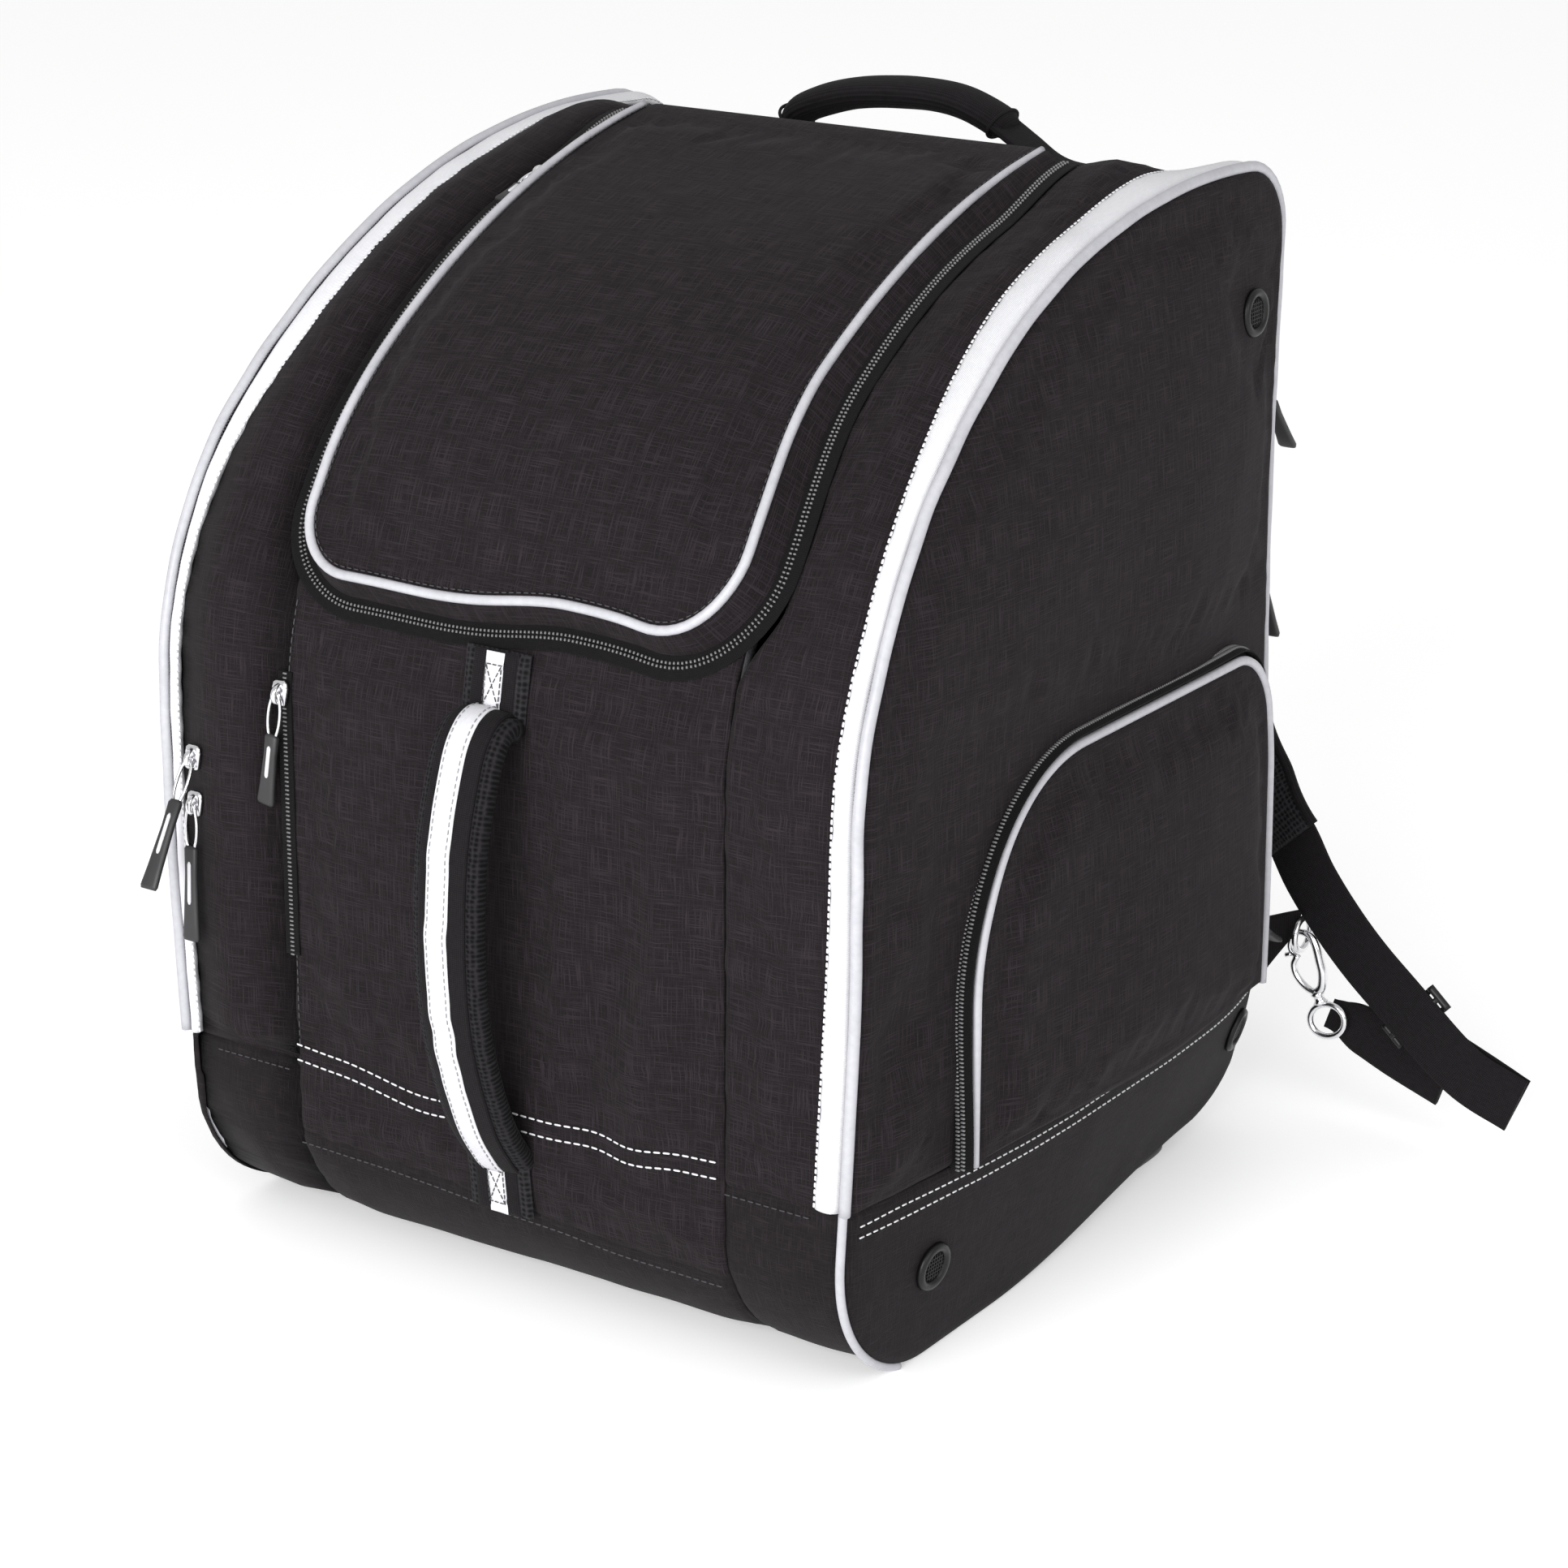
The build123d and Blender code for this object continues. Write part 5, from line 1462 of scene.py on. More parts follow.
# ---------------------------------------------------------------- vents
def eyelet(name, centre, normal, radius, body, *nodes):
    """Round vent: a lipped ring with crossed mesh bars behind it."""
    normal = unit(np.array(normal, float))
    across = unit(np.cross((0, 0, 1), normal))
    up = np.cross(normal, across)
    rim = loop_path(centre, across, up, 2 * radius - 4.2 * MM, 2 * radius - 4.2 * MM, 48)
    section = [(2.4, -0.4), (2.3, 0.8), (1.5, 1.9), (0.3, 2.2), (-0.9, 1.9), (-1.8, 0.9), (-2.2, -0.4)]
    collar = sweep(f"{name}_ring", rim, normal, in_millimetres(*section), "black_plastic", closed=True)
    attach(collar, body, "black_plastic", *nodes)
    inner = radius - 4 * MM
    share = np.linspace(0.02, 1, 8)[:, None]
    disc = loop_path((0, 0, 0), across, up, 2 * inner, 2 * inner, 32)
    top = np.array(centre) + share[..., None] * disc + normal * 0.5 * MM
    uvs = np.stack([(share[..., None] * disc) @ across, (share[..., None] * disc) @ up], -1)
    disc = slab(f"{name}_mesh", top, top - normal * 0.5 * MM, uvs, "vent_mesh", wrap=True)
    attach(disc, body, "black_plastic")
    bars = []
    for direction, other in ((across, up), (up, across)):
        for offset in np.arange(-4.5, 4.6, 1.8) * MM:
            half = math.sqrt(max(inner**2 - offset**2, 0))
            bars.append((np.array(centre) + other * offset + normal * 0.9 * MM, direction, 2 * half))
    vertices = [bead(length, 0.6 * MM, 0.6 * MM)[0] for _, _, length in bars]
    places = [
        place + v[:, :1] * direction + v[:, 1:2] * np.cross(normal, direction) + v[:, 2:] * normal
        for v, (place, direction, _) in zip(vertices, bars)
    ]
    one = bead(1, 1, 1)[1]
    count = len(vertices[0])
    faces = [tuple(i + k * count for i in face) for k in range(len(bars)) for face in one]
    uvs = np.zeros((count * len(bars), 2))
    grille = make_mesh(f"{name}_bars", np.concatenate(places), faces, uvs, "black_plastic")
    attach(grille, body, "black_plastic")


def build_vents(side, sign):
    """Two eyelets in the lower side and one high on the door."""
    radius = 11 * MM
    door = f"{side}_door"
    low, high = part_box("lower_vents")
    spots = ((low.y + radius, low.z + radius), (high.y - radius, high.z - radius))

    def face(y, z):
        """How far out the lower side's cloth lies."""
        return float(SIDE + 5.4 * MM + belly(y, z) - rear_tuck(y, z))

    for index, (y, z) in enumerate(spots):
        x = face(y, z)
        slope_y = (face(y + radius, z) - face(y - radius, z)) / (2 * radius)
        slope_z = (face(y, z + radius) - face(y, z - radius)) / (2 * radius)
        normal = (sign, -slope_y, -slope_z)
        eyelet(f"{side}_lower_vent_{index}", (sign * x, y, z), normal, radius, "bag_body", "lower_vents")
    y, z = DOOR_VENT.y, DOOR_VENT.z
    centre = (sign * (DOOR_OUT + door_bow(y, z) + 4 * MM), y, z)
    eyelet(f"{door}_vent", centre, (sign, 0.02, 0.02), radius, door, f"{door}_vent")


# ---------------------------------------------------------------- carry handle
def build_carry_handle():
    """Arched webbing with a stuffed sleeve, and the patches it is sewn to."""
    low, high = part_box("carry_handle_grip")
    y = (low.y + high.y) / 2
    foot = TOP - TOP_SAG + 4 * MM
    rising = [(-88, -2.5), (-80, -0.5), (-73, 4), (-62, 13.5), (-36, 22), (-6, 25.3)]
    falling = [(20, 24.5), (40, 18.5), (57, 9), (69, 1.5), (78, -1.5), (88, -2.5)]
    arch = in_millimetres(*((across, 0, up) for across, up in rising + falling))
    path = path_through(arch + np.array([0, y, foot]))
    web = sweep("carry_webbing", path, (0, 0, 1), flat_section(25 * MM, 2.6 * MM, 0.2 * MM), "webbing")
    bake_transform(web)
    label(web, "webbing", "carry_handle_webbing")
    inside = (path[:, 0] > -75 * MM) & (path[:, 0] < 50 * MM)
    sleeve = path[inside]
    share = np.linspace(0, 1, len(sleeve))
    ends = 0.72 + 0.28 * smooth(np.minimum(share / 0.10, (1 - share) / 0.035))
    size = ends * (1 + 0.03 * lumps(share, 0 * share, 0.11, 121))
    section = round_section(12.2 * MM, 28, 0.62)
    grip = sweep("carry_grip", sleeve, (0, 0, 1), section, "webbing", size=size)
    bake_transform(grip)
    label(grip, "webbing", "carry_handle_grip")
    for index, end_at in enumerate((2, len(sleeve) - 3)):
        place = sleeve[end_at : end_at + 3] if index == 0 else sleeve[end_at - 1 : end_at + 2]
        tangent = unit(place[-1] - place[0])
        up = unit(np.cross(tangent, (0, 1, 0)))
        size = (24.6 * MM, 15.0 * MM, 1.6 * MM)
        hem = ring(f"carry_hem_{index}", place[1], (0, 1, 0), up, *size, "webbing")
        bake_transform(hem)
        label(hem, "webbing")
    for side, sign in SIDES.items():
        x, s = sign * 86 * MM, top_at(y - 2 * MM)
        spot = skin(x, s, 0.2 * MM)
        across = unit(skin(x + 8 * MM, s) - skin(x - 8 * MM, s))
        rearward = unit(skin(x, s + 8 * MM) - skin(x, s - 8 * MM))
        size = (26 * MM, 26 * MM, 2.4 * MM)
        sewn = patch(f"{side}_carry_patch", spot, across, rearward, *size, "webbing", 3)
        attach(sewn, "bag_body", "webbing", "webbing_anchors")
        spot = spot + np.cross(across, rearward) * size[2]
        size = (20 * MM, 20 * MM)
        row = box_stitch(f"{side}_carry_stitch", spot, across, rearward, *size, "dark_thread")
        attach(row, "bag_body", "webbing")


# ---------------------------------------------------------------- grab handle
def build_grab_handle(bottom, top):
    """Bowed padded handle with its bound edges and reflective stripe, between two heights."""
    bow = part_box("grab_handle_webbing")[0].y + 3 * MM
    shape = [
        (FRONT - 2.0 * MM, bottom - 3 * MM),
        (FRONT - 8 * MM, bottom + 4 * MM),
        (FRONT - 20 * MM, bottom + 0.12 * (top - bottom)),
        (bow + 4 * MM, bottom + 0.32 * (top - bottom)),
        (bow, bottom + 0.52 * (top - bottom)),
        (bow + 3 * MM, bottom + 0.74 * (top - bottom)),
        (FRONT - 24 * MM, top - 0.09 * (top - bottom)),
        (FRONT - 16 * MM, top - 0.025 * (top - bottom)),
        (FRONT - 8 * MM, top - 0.004 * (top - bottom)),
        (FRONT - 2.0 * MM, top - 0.01 * (top - bottom)),
    ]
    path = path_through([(0, y, z) for y, z in shape])
    tangent = unit(np.gradient(path, axis=0))
    normals = np.stack([0 * tangent[:, 0], -tangent[:, 2], tangent[:, 1]], -1)

    def join(piece, slot, *nodes):
        """Bakes the transform of a piece of the handle and hides the CAD nodes it stands for."""
        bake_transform(piece)
        label(piece, slot, *nodes)

    def strip(name, lift, section, look, slot="webbing", nodes=(), drift=0.0):
        """One layer of the handle, lifted in millimetres and drifting sideways."""
        spine = path + normals * lift * MM
        spine[:, 0] += drift
        join(sweep(name, spine, normals, section, look), slot, *nodes)
        return spine

    strip("grab_pad", -3.6, flat_section(30 * MM, 9.0 * MM, 1.2 * MM, 16), "knit")
    band = flat_section(25 * MM, 1.6 * MM, 0.9 * MM, 14)
    strip("grab_band", 2.2, band, "webbing", nodes=("grab_handle_webbing",))
    for edge in (-1, 1):
        binding = round_section(5.0 * MM, 14, 1.0)
        strip(f"grab_binding_{edge + 1}", -3.4, binding, "knit", drift=edge * 13.2 * MM)
    height = path[:, 2]
    waviness = 0.7 * MM * lumps(height, 0 * height, 9 * MM, 131)
    waviness = waviness * hump(height, (bottom + top) / 2, (top - bottom) / 2)
    tape = flat_section(12 * MM, 0.8 * MM, 0.3 * MM, 8)
    nodes = ("grab_handle_stripe",)
    stripe = strip(
        "grab_stripe", 3.9, tape, "reflective_tape", "reflective_tape", nodes, waviness - 1.5 * MM
    )
    for index, edge in enumerate((-4.4, 4.4)):
        seam = stripe + normals * 0.75 * MM
        seam[:, 0] += edge * MM
        row = stitches(f"grab_stitches_{index}", seam, normals, "grey_thread", 2.2, 1.1, 0.5, 0.0)
        join(row, "reflective_tape")


def build_grab_end(name, z):
    """Where the grab handle is sewn down: pad, webbing and stripe on each other, cross-stitched."""
    across = (1, 0, 0)
    s = front_at(z)
    normal = skin_normal(s)
    up = unit(np.cross(normal, across))
    up = up if up[2] > 0 else -up
    back = skin(0.0, s, front_bulge(0.0, s)) + normal * 0.6 * MM
    layers = (
        ("", 0.0, (34, 31, 2.2), "padded_mesh", 5, "webbing", "webbing_anchors"),
        ("_band", 1.8, (24, 30, 1.2), "webbing", 6, "webbing"),
        ("_stripe", 2.8, (9.6, 29, 0.9), "reflective_tape", 7, "reflective_tape"),
    )
    for suffix, lift, size, look, seed, slot, *nodes in layers:
        width, height, thickness = in_millimetres(size)[0]
        place = back + normal * lift * MM
        sewn = patch(f"{name}{suffix}", place, across, up, width, height, thickness, look, seed)
        attach(sewn, "bag_body", slot, *nodes)
    place = back + normal * 3.9 * MM
    row = box_stitch(f"{name}_stitch", place, across, up, 8.4 * MM, 18 * MM, "dark_thread")
    attach(row, "bag_body", "webbing")


# ---------------------------------------------------------------- shoulder straps
def strap_places(side, sign, points, step):
    """A smooth path behind the bag; points (x, y from the strap, z) are in millimetres."""
    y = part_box(f"{side}_strap_pad")[0].y + 6 * MM
    return path_through([(sign * px * MM, y + py * MM, pz * MM) for px, py, pz in points], step)


def build_strap_pad(side, sign):
    """Padded strap with bound edges and webbing sewn down its lower half."""
    body = f"{side}_strap"
    upper = [(75, -27, 458), (76, -14, 454), (80, -3, 436), (94, 0, 380)]
    lower = [(118, 0, 292), (136, 0, 205), (154, 0, 165), (178, 0, 139)]
    path = strap_places(side, sign, upper + lower, 3.0)
    tangent = unit(np.gradient(path, axis=0))
    sideways = unit(np.stack([tangent[:, 2], 0 * tangent[:, 1], -tangent[:, 0]], -1))
    normals = unit(np.cross(tangent, sideways))
    normals = normals * np.where(normals[:, 1:2] + 0.2 * normals[:, 2:3] < 0, -1, 1)
    share = np.linspace(0, 1, len(path))
    ends = 0.7 + 0.3 * smooth(np.minimum(share / 0.03, (1 - share) / 0.10))
    size = ends * (1 + 0.02 * lumps(share, 0 * share, 0.12, 141))
    section = flat_section(48 * MM, 5.5 * MM, 3.0 * MM, 22)
    look = "padded_mesh"
    add_strand(f"{body}_cushion", path, normals, section, look, body, f"{body}_pad", size=size)
    _, across, _ = frames_along(path, normals)
    for edge in (-1, 1):
        hem = path + across * (edge * 24.2 * MM * size[:, None])
        binding = round_section(2.4 * MM, 10, 1.2)
        add_strand(f"{body}_binding_{edge + 1}", hem, normals, binding, "webbing", body)
    face = path + normals * (6.2 * MM * size[:, None])
    low = slice(int(0.5 * len(path)), len(path) - 2)
    band = flat_section(24 * MM, 1.6 * MM)
    add_strand(f"{body}_front_band", face[low], normals[low], band, "webbing", body)


def build_strap_webbing(side, sign):
    """The strap's webbing, its folded tail and the leg that runs back to the hook."""
    body = f"{side}_strap"
    backward = np.array([0, 1, 0])
    near = [(162, 1, 156), (176, 3, 142), (189, 2, 122), (205, 1, 103)]
    far = [(224, 0, 84), (247, -1, 65), (276, 0, 41), (304, 0, 30)]
    path = strap_places(side, sign, near + far, 3.0)
    path[:, 1] += 1.0 * MM * lumps(path[:, 0], path[:, 2], 40 * MM, 143)
    section = flat_section(30 * MM, 2.4 * MM, 0.3 * MM)
    add_strand(f"{body}_band", path, backward, section, "webbing", body, f"{body}_webbing")
    along = unit(path[-1] - path[-12])
    tail = path[-1] - along * 20 * MM + backward * 2.2 * MM
    sideways = np.cross(backward, along)
    size = (40 * MM, 29 * MM, 2.4 * MM)
    attach(patch(f"{body}_tail", tail, along, sideways, *size, "webbing", 9), body, "webbing")
    leg = [(201, 5, 53), (207, 7, 51), (219, 7, 47), (238, 7, 39), (264, 5, 31)]
    path = strap_places(side, sign, leg, 2.0)
    width = 0.62 + 0.38 * smooth(np.linspace(0, 1, len(path)) / 0.3)
    section = flat_section(27 * MM, 3.4 * MM, 0.5 * MM)
    add_strand(f"{body}_leg", path, backward, section, "webbing", body, size=width)


def build_ring_tab(side, sign):
    """The ring at the bag's rear corner and the triangle of webbing that holds it."""
    low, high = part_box("strap_d_rings")
    ring_x, ring_y, ring_z = high.x - 1.6 * MM, (low.y + high.y) / 2, (low.z + high.z) / 2
    centre = (sign * ring_x, ring_y, ring_z)
    size = (16 * MM, 16 * MM, 3.2 * MM)
    made = ring(f"{side}_d_ring", centre, (0, 1, 0), (0, 0, 1), *size, "chrome")
    attach(made, "bag_body", "chrome", "strap_d_rings")
    sewn_y = BACK + 0.5 * MM
    corners = [(150, sewn_y, 36), (150, sewn_y, 96), (185.5, ring_y, 105), (185.5, ring_y, 96)]
    a, b, c, d = (np.array([sign * cx * MM, cy, cz * MM]) for cx, cy, cz in corners)
    u, v = np.meshgrid(np.linspace(0, 1, 14), np.linspace(0, 1, 16), indexing="ij")
    u, v = u[..., None], v[..., None]
    flat = (1 - u) * ((1 - v) * a + v * b) + u * ((1 - v) * d + v * c)
    out = unit(np.cross(c - b, a - b))
    soft = 1.2 * MM * lumps(u, v, 0.4, 145)
    half = 1.4 * MM
    uvs = np.concatenate([u * 45 * MM, v * 60 * MM], -1)
    name = f"{side}_ring_tab"
    tab = slab(name, flat + out * (soft + half), flat + out * (soft - half), uvs, "webbing")
    attach(tab, "bag_body", "webbing")


def build_adjuster(side, sign):
    """Slim ladder buckle on the strap's webbing: three bars between two sides."""
    body = f"{side}_strap_adjuster"
    low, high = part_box(body)
    x, y, z = (low.x + high.x) / 2, (low.y + high.y) / 2, (low.z + high.z) / 2
    centre = np.array([x - sign * 3 * MM, y, z - 8 * MM])
    along = unit(np.array([sign * 74.0, 0, -69.0]))
    across = np.cross((0, 1, 0), along)

    def rod(name, place, reach, section):
        """One straight bar from place - reach to place + reach."""
        path = np.linspace(place - reach, place + reach, 8)
        add_strand(f"{side}_adjuster_{name}", path, (0, 1, 0), section, "black_plastic", body, body)

    for index, step in enumerate((-5.5, 0.0, 5.5)):
        lift = np.array([0, (2.6 if step else -0.5) * MM, 0])
        place = centre + along * step * MM + lift
        rod(f"bar_{index}", place, across * 17 * MM, round_section(1.5 * MM, 10, 0.8))
    for index, edge in enumerate((-17, 17)):
        place = centre + across * edge * MM + np.array([0, 1.2 * MM, 0])
        rod(f"side_{index}", place, along * 7 * MM, round_section(1.9 * MM, 10))


def build_hook(side, sign):
    """Chrome trigger hook: oval loop, spring gate, swivel and webbing eye."""
    hook, gate = f"{side}_strap_hook", f"{side}_hook_gate"
    low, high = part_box("strap_d_rings")
    eye = np.array([sign * (high.x - 1.6 * MM), (low.y + high.y) / 2, (low.z + high.z) / 2 - 8 * MM])
    lean = math.radians(24.5)
    down = np.array([sign * math.sin(lean), 0, -math.cos(lean)])
    across = np.array([math.cos(lean), 0, sign * math.sin(lean)]) * sign

    def bent(places, step):
        """A smooth path through places (across, down) from the ring, in millimetres."""
        return path_through([eye + across * a * MM + down * d * MM for a, d in places], step)

    def wire(name, path, section, body, *nodes, size=1.0):
        """One chrome wire of the hook along a path."""
        add_strand(f"{side}_{name}", path, (0, 1.0, 0), section, "chrome", body, *nodes, size=size)

    bow_end = [(0, 22.8), (3.6, 20.5), (6.4, 14.5), (7.4, 8)]
    bow_mouth = [(8.2, 0.5), (7.2, -5.0), (2.5, -8.4), (-3, -7.2)]
    bow = bent(bow_end + bow_mouth, 1.0)
    width = 1.15 - 0.45 * smooth((np.linspace(0, 1, len(bow)) - 0.5) / 0.5)
    wire("hook_bow", bow, round_section(2.0 * MM, 12), hook, hook, size=width)
    spine = bent([(-3.4, 2.6), (-7.0, 6), (-8.0, 11), (-6.4, 16.5), (-3.2, 21), (0, 22.8)], 1.0)
    wire("hook_spine", spine, round_section(1.7 * MM, 12), hook)
    bar = bent([(-3.0, -6.8), (-5.6, -3.6), (-6.0, 0), (-3.8, 3.4)], 0.8)
    wire("gate_bar", bar, round_section(1.3 * MM, 10), gate, gate)
    knob = eye + across * -6.6 * MM + down * 1.0 * MM
    lever = np.linspace(knob, knob - across * 3.2 * MM, 5)
    wire("gate_lever", lever, round_section(1.2 * MM, 10), gate)
    neck = np.array([eye + down * d * MM for d in (22, 23.5, 25, 26.5, 28, 29.2)])
    flare = np.array([1.5, 2.3, 1.6, 1.6, 2.4, 1.2])
    wire("hook_swivel", neck, round_section(1.6 * MM, 14), hook, size=flare)
    centre = eye + down * 37.5 * MM
    made = ring(f"{side}_hook_eye", centre, across, down, 19 * MM, 16.5 * MM, 3.2 * MM, "chrome")
    attach(made, hook, "chrome")


# ---------------------------------------------------------------- sliders and pulls
def lofted(name, stations, origin, along, across, out, look, sides=16):
    """A rounded solid from stations (along, half width, bottom, top), all in millimetres."""
    angle = np.linspace(0, 2 * math.pi, sides, endpoint=False)
    rows = []
    for at, half, bottom, top in stations:
        middle, rise = (bottom + top) / 2, (top - bottom) / 2
        a = half * rounded(np.cos(angle), 0.6)
        b = middle + rise * rounded(np.sin(angle), 0.6)
        rows.append(origin + (at * along + a[:, None] * across + b[:, None] * out) * MM)
    points = np.stack(rows)
    faces = grid_faces(len(rows), sides, 0, True)
    faces += [tuple(range(sides)), tuple(range((len(rows) - 1) * sides, len(rows) * sides))]
    uvs = np.stack(np.meshgrid(np.arange(len(rows)) * MM, angle * 3 * MM, indexing="ij"), -1)
    return make_mesh(name, points, faces, uvs, look)


def build_slider(prefix, suffix, out, along, kick=0.0, tab=42.0, lift=0.0, zoom=1.0, lean=0.0):
    """A chrome slider with its bridge, the wire loop and the moulded tab of its pull."""
    slider, pull = f"{prefix}_slider{suffix}", f"{prefix}_pull{suffix}"
    low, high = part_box(slider)
    out, along = unit(np.array(out, float)), unit(np.array(along, float))
    across = np.cross(along, out)
    centre = np.array((low + high) / 2)
    origin = centre - out * 3.1 * MM + out * lift * MM
    stations = [
        (-6.0, 1.6, 0.2, 1.8),
        (-5.0, 2.9, 0, 2.6),
        (-1.5, 3.7, 0, 3.0),
        (2.5, 4.4, 0, 2.9),
        (5.0, 3.9, 0, 2.5),
        (6.0, 2.6, 0.3, 1.8),
    ]
    made = lofted(f"{slider}_body", stations, origin, along, across, out, "chrome")
    attach(made, slider, "chrome", slider)
    arch = [(-4.6, 2.2), (-3.4, 4.9), (-1.2, 6.4), (1.4, 6.2), (3.2, 4.8), (4.2, 2.2)]
    path = path_through([origin + (a * along + h * out) * MM for a, h in arch], 0.6)
    add_strand(f"{slider}_bridge", path, across, round_section(0.95 * MM, 10, 1.5), "chrome", slider)

    pivot = origin + out * 4.4 * MM
    turn = math.radians(kick)
    sway = math.radians(lean)
    hang = -along * math.cos(turn) + out * math.sin(turn)
    face = out * math.cos(turn) + along * math.sin(turn)
    level = across
    across = level * math.cos(sway) - hang * math.sin(sway)
    hang = hang * math.cos(sway) + level * math.sin(sway)
    loop = pivot + hang * 10.5 * MM * zoom
    wire = ring(f"{pull}_wire", loop, across, hang, 6.6 * MM, 22 * MM * zoom, 1.5 * MM, "chrome")
    attach(wire, pull, "chrome")
    start = 19.0 * zoom
    outline = [
        (start, 2.6, -1.2, 1.2),
        (start + 1.5, 3.6, -1.7, 1.7),
        (start + 0.3 * tab, 3.3, -1.6, 1.6),
        (start + 0.75 * tab, 4.1, -1.5, 1.5),
        (start + tab - 1.5, 4.7, -1.5, 1.5),
        (start + tab, 4.2, -1.0, 1.0),
    ]
    made = lofted(f"{pull}_tab", outline, pivot, hang, across, face, "zip_pull")
    attach(made, pull, "zip_pull", pull)
    inlay = [
        (start + 0.16 * tab, 0.5, 1.2, 1.8),
        (start + 0.19 * tab, 1.0, 1.2, 2.0),
        (start + 0.58 * tab, 1.0, 1.2, 2.0),
        (start + 0.61 * tab, 0.5, 1.2, 1.8),
    ]
    made = lofted(f"{pull}_inlay", inlay, pivot, hang, across, face, "thread", 10)
    attach(made, pull, "zip_pull")


def build_all_sliders():
    """Every slider at the place its CAD node is parked."""
    front, back, up = (0, -1, 0), (0, 1, 0), (0, 0, 1)
    build_slider("left_door", "_upper", front, up, kick=30.0, lift=1.5)
    build_slider("left_door", "_lower", front, up, kick=3.0, tab=45.0, lift=1.5)
    for suffix, kick, tab in (("_upper", 38.0, 34.0), ("_lower", 24.0, 38.0)):
        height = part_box(f"right_door_slider{suffix}")[0].z
        drawn_in = stuffing(back_at(height)) / MM
        build_slider("right_door", suffix, back, up, kick=kick, tab=tab, lift=1.0 + drawn_in)
    build_slider("front_pocket", "", front, up, tab=34.0, lift=-0.6, lean=-9.0)
    slope = math.radians(18)
    out = (0, -math.sin(slope), math.cos(slope))
    build_slider("flap", "", out, (0, math.cos(slope), math.sin(slope)), tab=16.0, lift=4.0, zoom=0.7)
    for side in SIDES:
        build_slider(f"{side}_pocket", "", back, up, kick=55.0, tab=15.0, lift=1.0, zoom=0.7)


# ---------------------------------------------------------------- inside the bag
def build_divider(side, sign):
    """The tray that holds one boot apart from the centre compartment."""
    low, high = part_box(f"{side}_divider")
    floor_x = min(abs(low.x), abs(high.x))
    inset = 10 * MM
    s = np.arange(0, S_END, 7 * MM)
    y, z = outline_at(s, np.minimum(stuffing(s), 0) - top_sag(SEAM_X, s) - inset)
    bottom = np.arange(y[-1] - 7 * MM, y[0] + 4 * MM, -7 * MM)
    y, z = np.concatenate([y, bottom]), np.concatenate([z, np.full(len(bottom), z[0])])
    middle = np.array([10 * MM, 215 * MM])
    reach = np.hypot(y - middle[0], z - middle[1])
    draw = 12 * MM / reach
    share = np.concatenate([np.linspace(0.01, 0.95, 24), [0.98, 1.0]])[:, None] * (1 - draw)
    floor = np.full(share.shape, floor_x)
    rows = np.linspace(0, 1, 12)[1:, None]
    wall = (1 - draw) + rows * draw
    wall_x = floor_x + rows * (SEAM_X - floor_x) + 0 * wall
    flange = 1 + 6 * MM / reach
    share = np.concatenate([share, wall, flange[None]])
    x = np.concatenate([floor, wall_x, np.full((1, len(reach)), SEAM_X + 0.2 * MM)])
    ys, zs = middle[0] + share * (y - middle[0]), middle[1] + share * (z - middle[1])
    soft = 1.6 * MM * lumps(ys, zs, 50 * MM, 151 + sign) + 0.6 * MM * lumps(ys, zs, 18 * MM, 153)
    soft = soft * np.concatenate([np.ones(len(floor)), 1 - rows[:, 0], [0.0]])[:, None]
    points = np.stack([sign * (x + soft), ys, zs], -1)
    back = points - np.array([sign * 1.6 * MM, 0, 0])
    tray = slab(f"{side}_divider_cloth", points, back, np.stack([ys, zs], -1), "lining", wrap=True)
    attach(tray, "bag_body", "lining", f"{side}_divider")


def build_pocket_lining():
    """The front pocket's lining, hanging behind the front panel."""
    low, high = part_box("front_pocket_lining")
    across = low.x + spaced(high.x - low.x, 6 * MM)
    up = low.z + spaced(high.z - low.z, 6 * MM)
    up, across = np.meshgrid(up, across, indexing="ij")
    depth = high.y + 1.2 * MM * np.abs(lumps(across, up, 40 * MM, 155))
    sheet = np.stack([across, depth, up], -1)
    under = sheet - np.array([0, 0.8 * MM, 0])
    lining = slab("pocket_lining_cloth", sheet, under, np.stack([across, up], -1), "lining")
    attach(lining, "bag_body", "lining", "front_pocket_lining")


def build_base_board():
    """The stiff board on the base, with rounded corners and a rolled edge."""
    low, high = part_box("base_stiffener")
    middle = (low + high) / 2
    angle = np.linspace(0, 2 * math.pi, 120, endpoint=False)
    rim_x = rounded(np.cos(angle), 0.12) * (high.x - middle.x)
    rim_y = rounded(np.sin(angle), 0.12) * (high.y - middle.y)
    share = np.array([0.02, 0.5, 0.9, 0.98, 0.992, 1.0])[:, None, None]
    flat = share * np.stack([rim_x, rim_y], -1)[None]
    x, y = flat[..., 0], flat[..., 1]
    drop = np.array([0, 0, 0, 0, 0.3, 1.2])[:, None] * MM
    top = np.stack([x + middle.x, y + middle.y, high.z - drop + 0 * x], -1)
    under = top.copy()
    under[..., 2] = low.z
    board = slab("base_board", top, under, flat, "board", wrap=True)
    attach(board, "bag_body", "board", "base_stiffener")


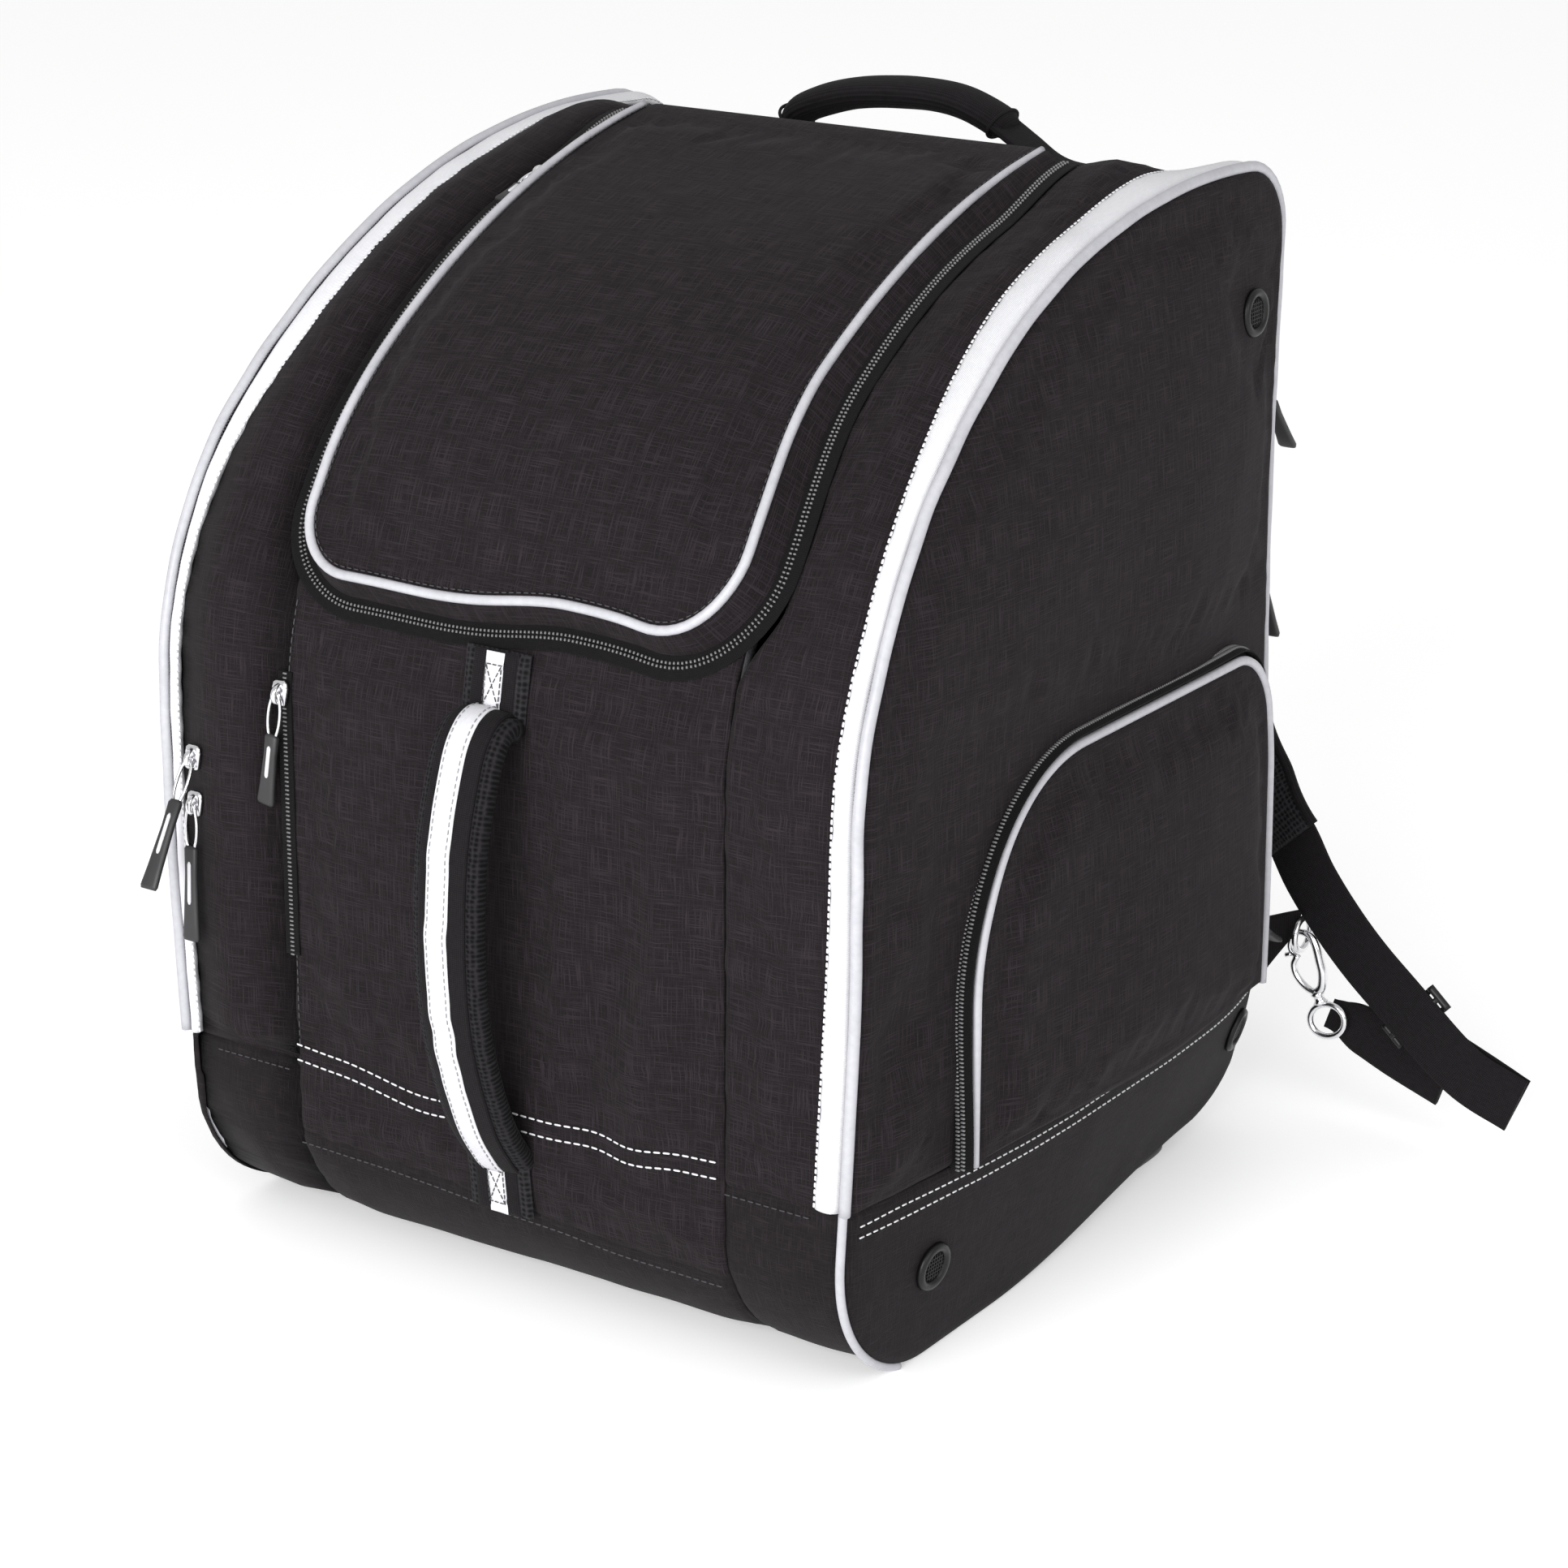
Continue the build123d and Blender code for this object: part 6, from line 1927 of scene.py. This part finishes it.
# ---------------------------------------------------------------- build order
build_body_panels()
build_base()
build_back()
build_flap_cloth()
build_flap_boxing()
build_flap_piping()
build_flap_zip()
for side, sign in SIDES.items():
    build_door_cloth(side, sign)
    build_door_lining(side, sign)
    build_door_piping(side, sign)
    build_door_tape(side, sign)
    build_lower_piping(side, sign)
    build_lower_side(side, sign)
    build_pocket(side, sign)
    build_vents(side, sign)
    build_strap_pad(side, sign)
    build_strap_webbing(side, sign)
    build_ring_tab(side, sign)
    build_adjuster(side, sign)
    build_hook(side, sign)
build_front_details()
build_carry_handle()
grab_low, grab_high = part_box("grab_handle_webbing")
grab_bottom, grab_top = grab_low.z - 10 * MM, grab_high.z + 8 * MM
build_grab_handle(grab_bottom, grab_top)
build_grab_end("grab_end_low", grab_bottom - 12 * MM)
build_grab_end("grab_end_high", grab_top + 11 * MM)
build_all_sliders()
for side, sign in SIDES.items():
    build_divider(side, sign)
build_pocket_lining()
build_base_board()


# ---------------------------------------------------------------- stage, light and camera
def build_stage():
    """A plain pale floor and soft studio light."""
    bpy.ops.mesh.primitive_plane_add(size=30, location=(0, 0, 0))
    floor = bpy.context.object
    floor.name = "floor"
    look, _, shader = new_look("floor")
    shader.inputs["Base Color"].default_value = (0.92, 0.92, 0.92, 1)
    shader.inputs["Emission Color"].default_value = (1, 1, 1, 1)
    shader.inputs["Emission Strength"].default_value = 0.31
    shader.inputs["Roughness"].default_value = 0.9
    shader.inputs["Specular IOR Level"].default_value = 0.1
    floor.data.materials.append(look)
    world = bpy.data.worlds.new("studio")
    bpy.context.scene.world = world
    world.use_nodes = True
    world.node_tree.nodes["Background"].inputs["Color"].default_value = (1, 1, 1, 1)
    world.node_tree.nodes["Background"].inputs["Strength"].default_value = 0.66
    for name, place, size, power in (
        ("key", (0.4, -2.8, 0.95), 1.8, 82),
        ("fill", (2.8, -1.2, 1.7), 1.6, 26),
        ("top", (0.2, 0.4, 3.0), 2.2, 3),
    ):
        light = bpy.data.lights.new(name, "AREA")
        light.size = size
        light.energy = power
        lamp = bpy.data.objects.new(name, light)
        lamp.location = place
        lamp.rotation_mode = "QUATERNION"
        lamp.rotation_quaternion = (Vector((0, 0, 0.22)) - Vector(place)).to_track_quat("-Z", "Y")
        bpy.context.scene.collection.objects.link(lamp)


def build_camera():
    """The photo's camera: from the front right and a little above."""
    azimuth, elevation, distance = math.radians(34.51), math.radians(17.6), 1.919
    target = Vector((0, 0, TOP / 2))
    back = Vector(
        (
            math.sin(azimuth) * math.cos(elevation),
            -math.cos(azimuth) * math.cos(elevation),
            math.sin(elevation),
        )
    )
    data = bpy.data.cameras.new("photo_camera")
    data.lens = 95.2
    data.sensor_width = 36
    data.shift_x = 0.0286
    data.shift_y = -0.0589
    camera = bpy.data.objects.new("photo_camera", data)
    camera.location = target + back * distance
    camera.rotation_mode = "QUATERNION"
    camera.rotation_quaternion = (-back).to_track_quat("-Z", "Y")
    bpy.context.scene.collection.objects.link(camera)
    bpy.context.scene.camera = camera
    bpy.context.scene.view_settings.view_transform = "Standard"


build_stage()
build_camera()
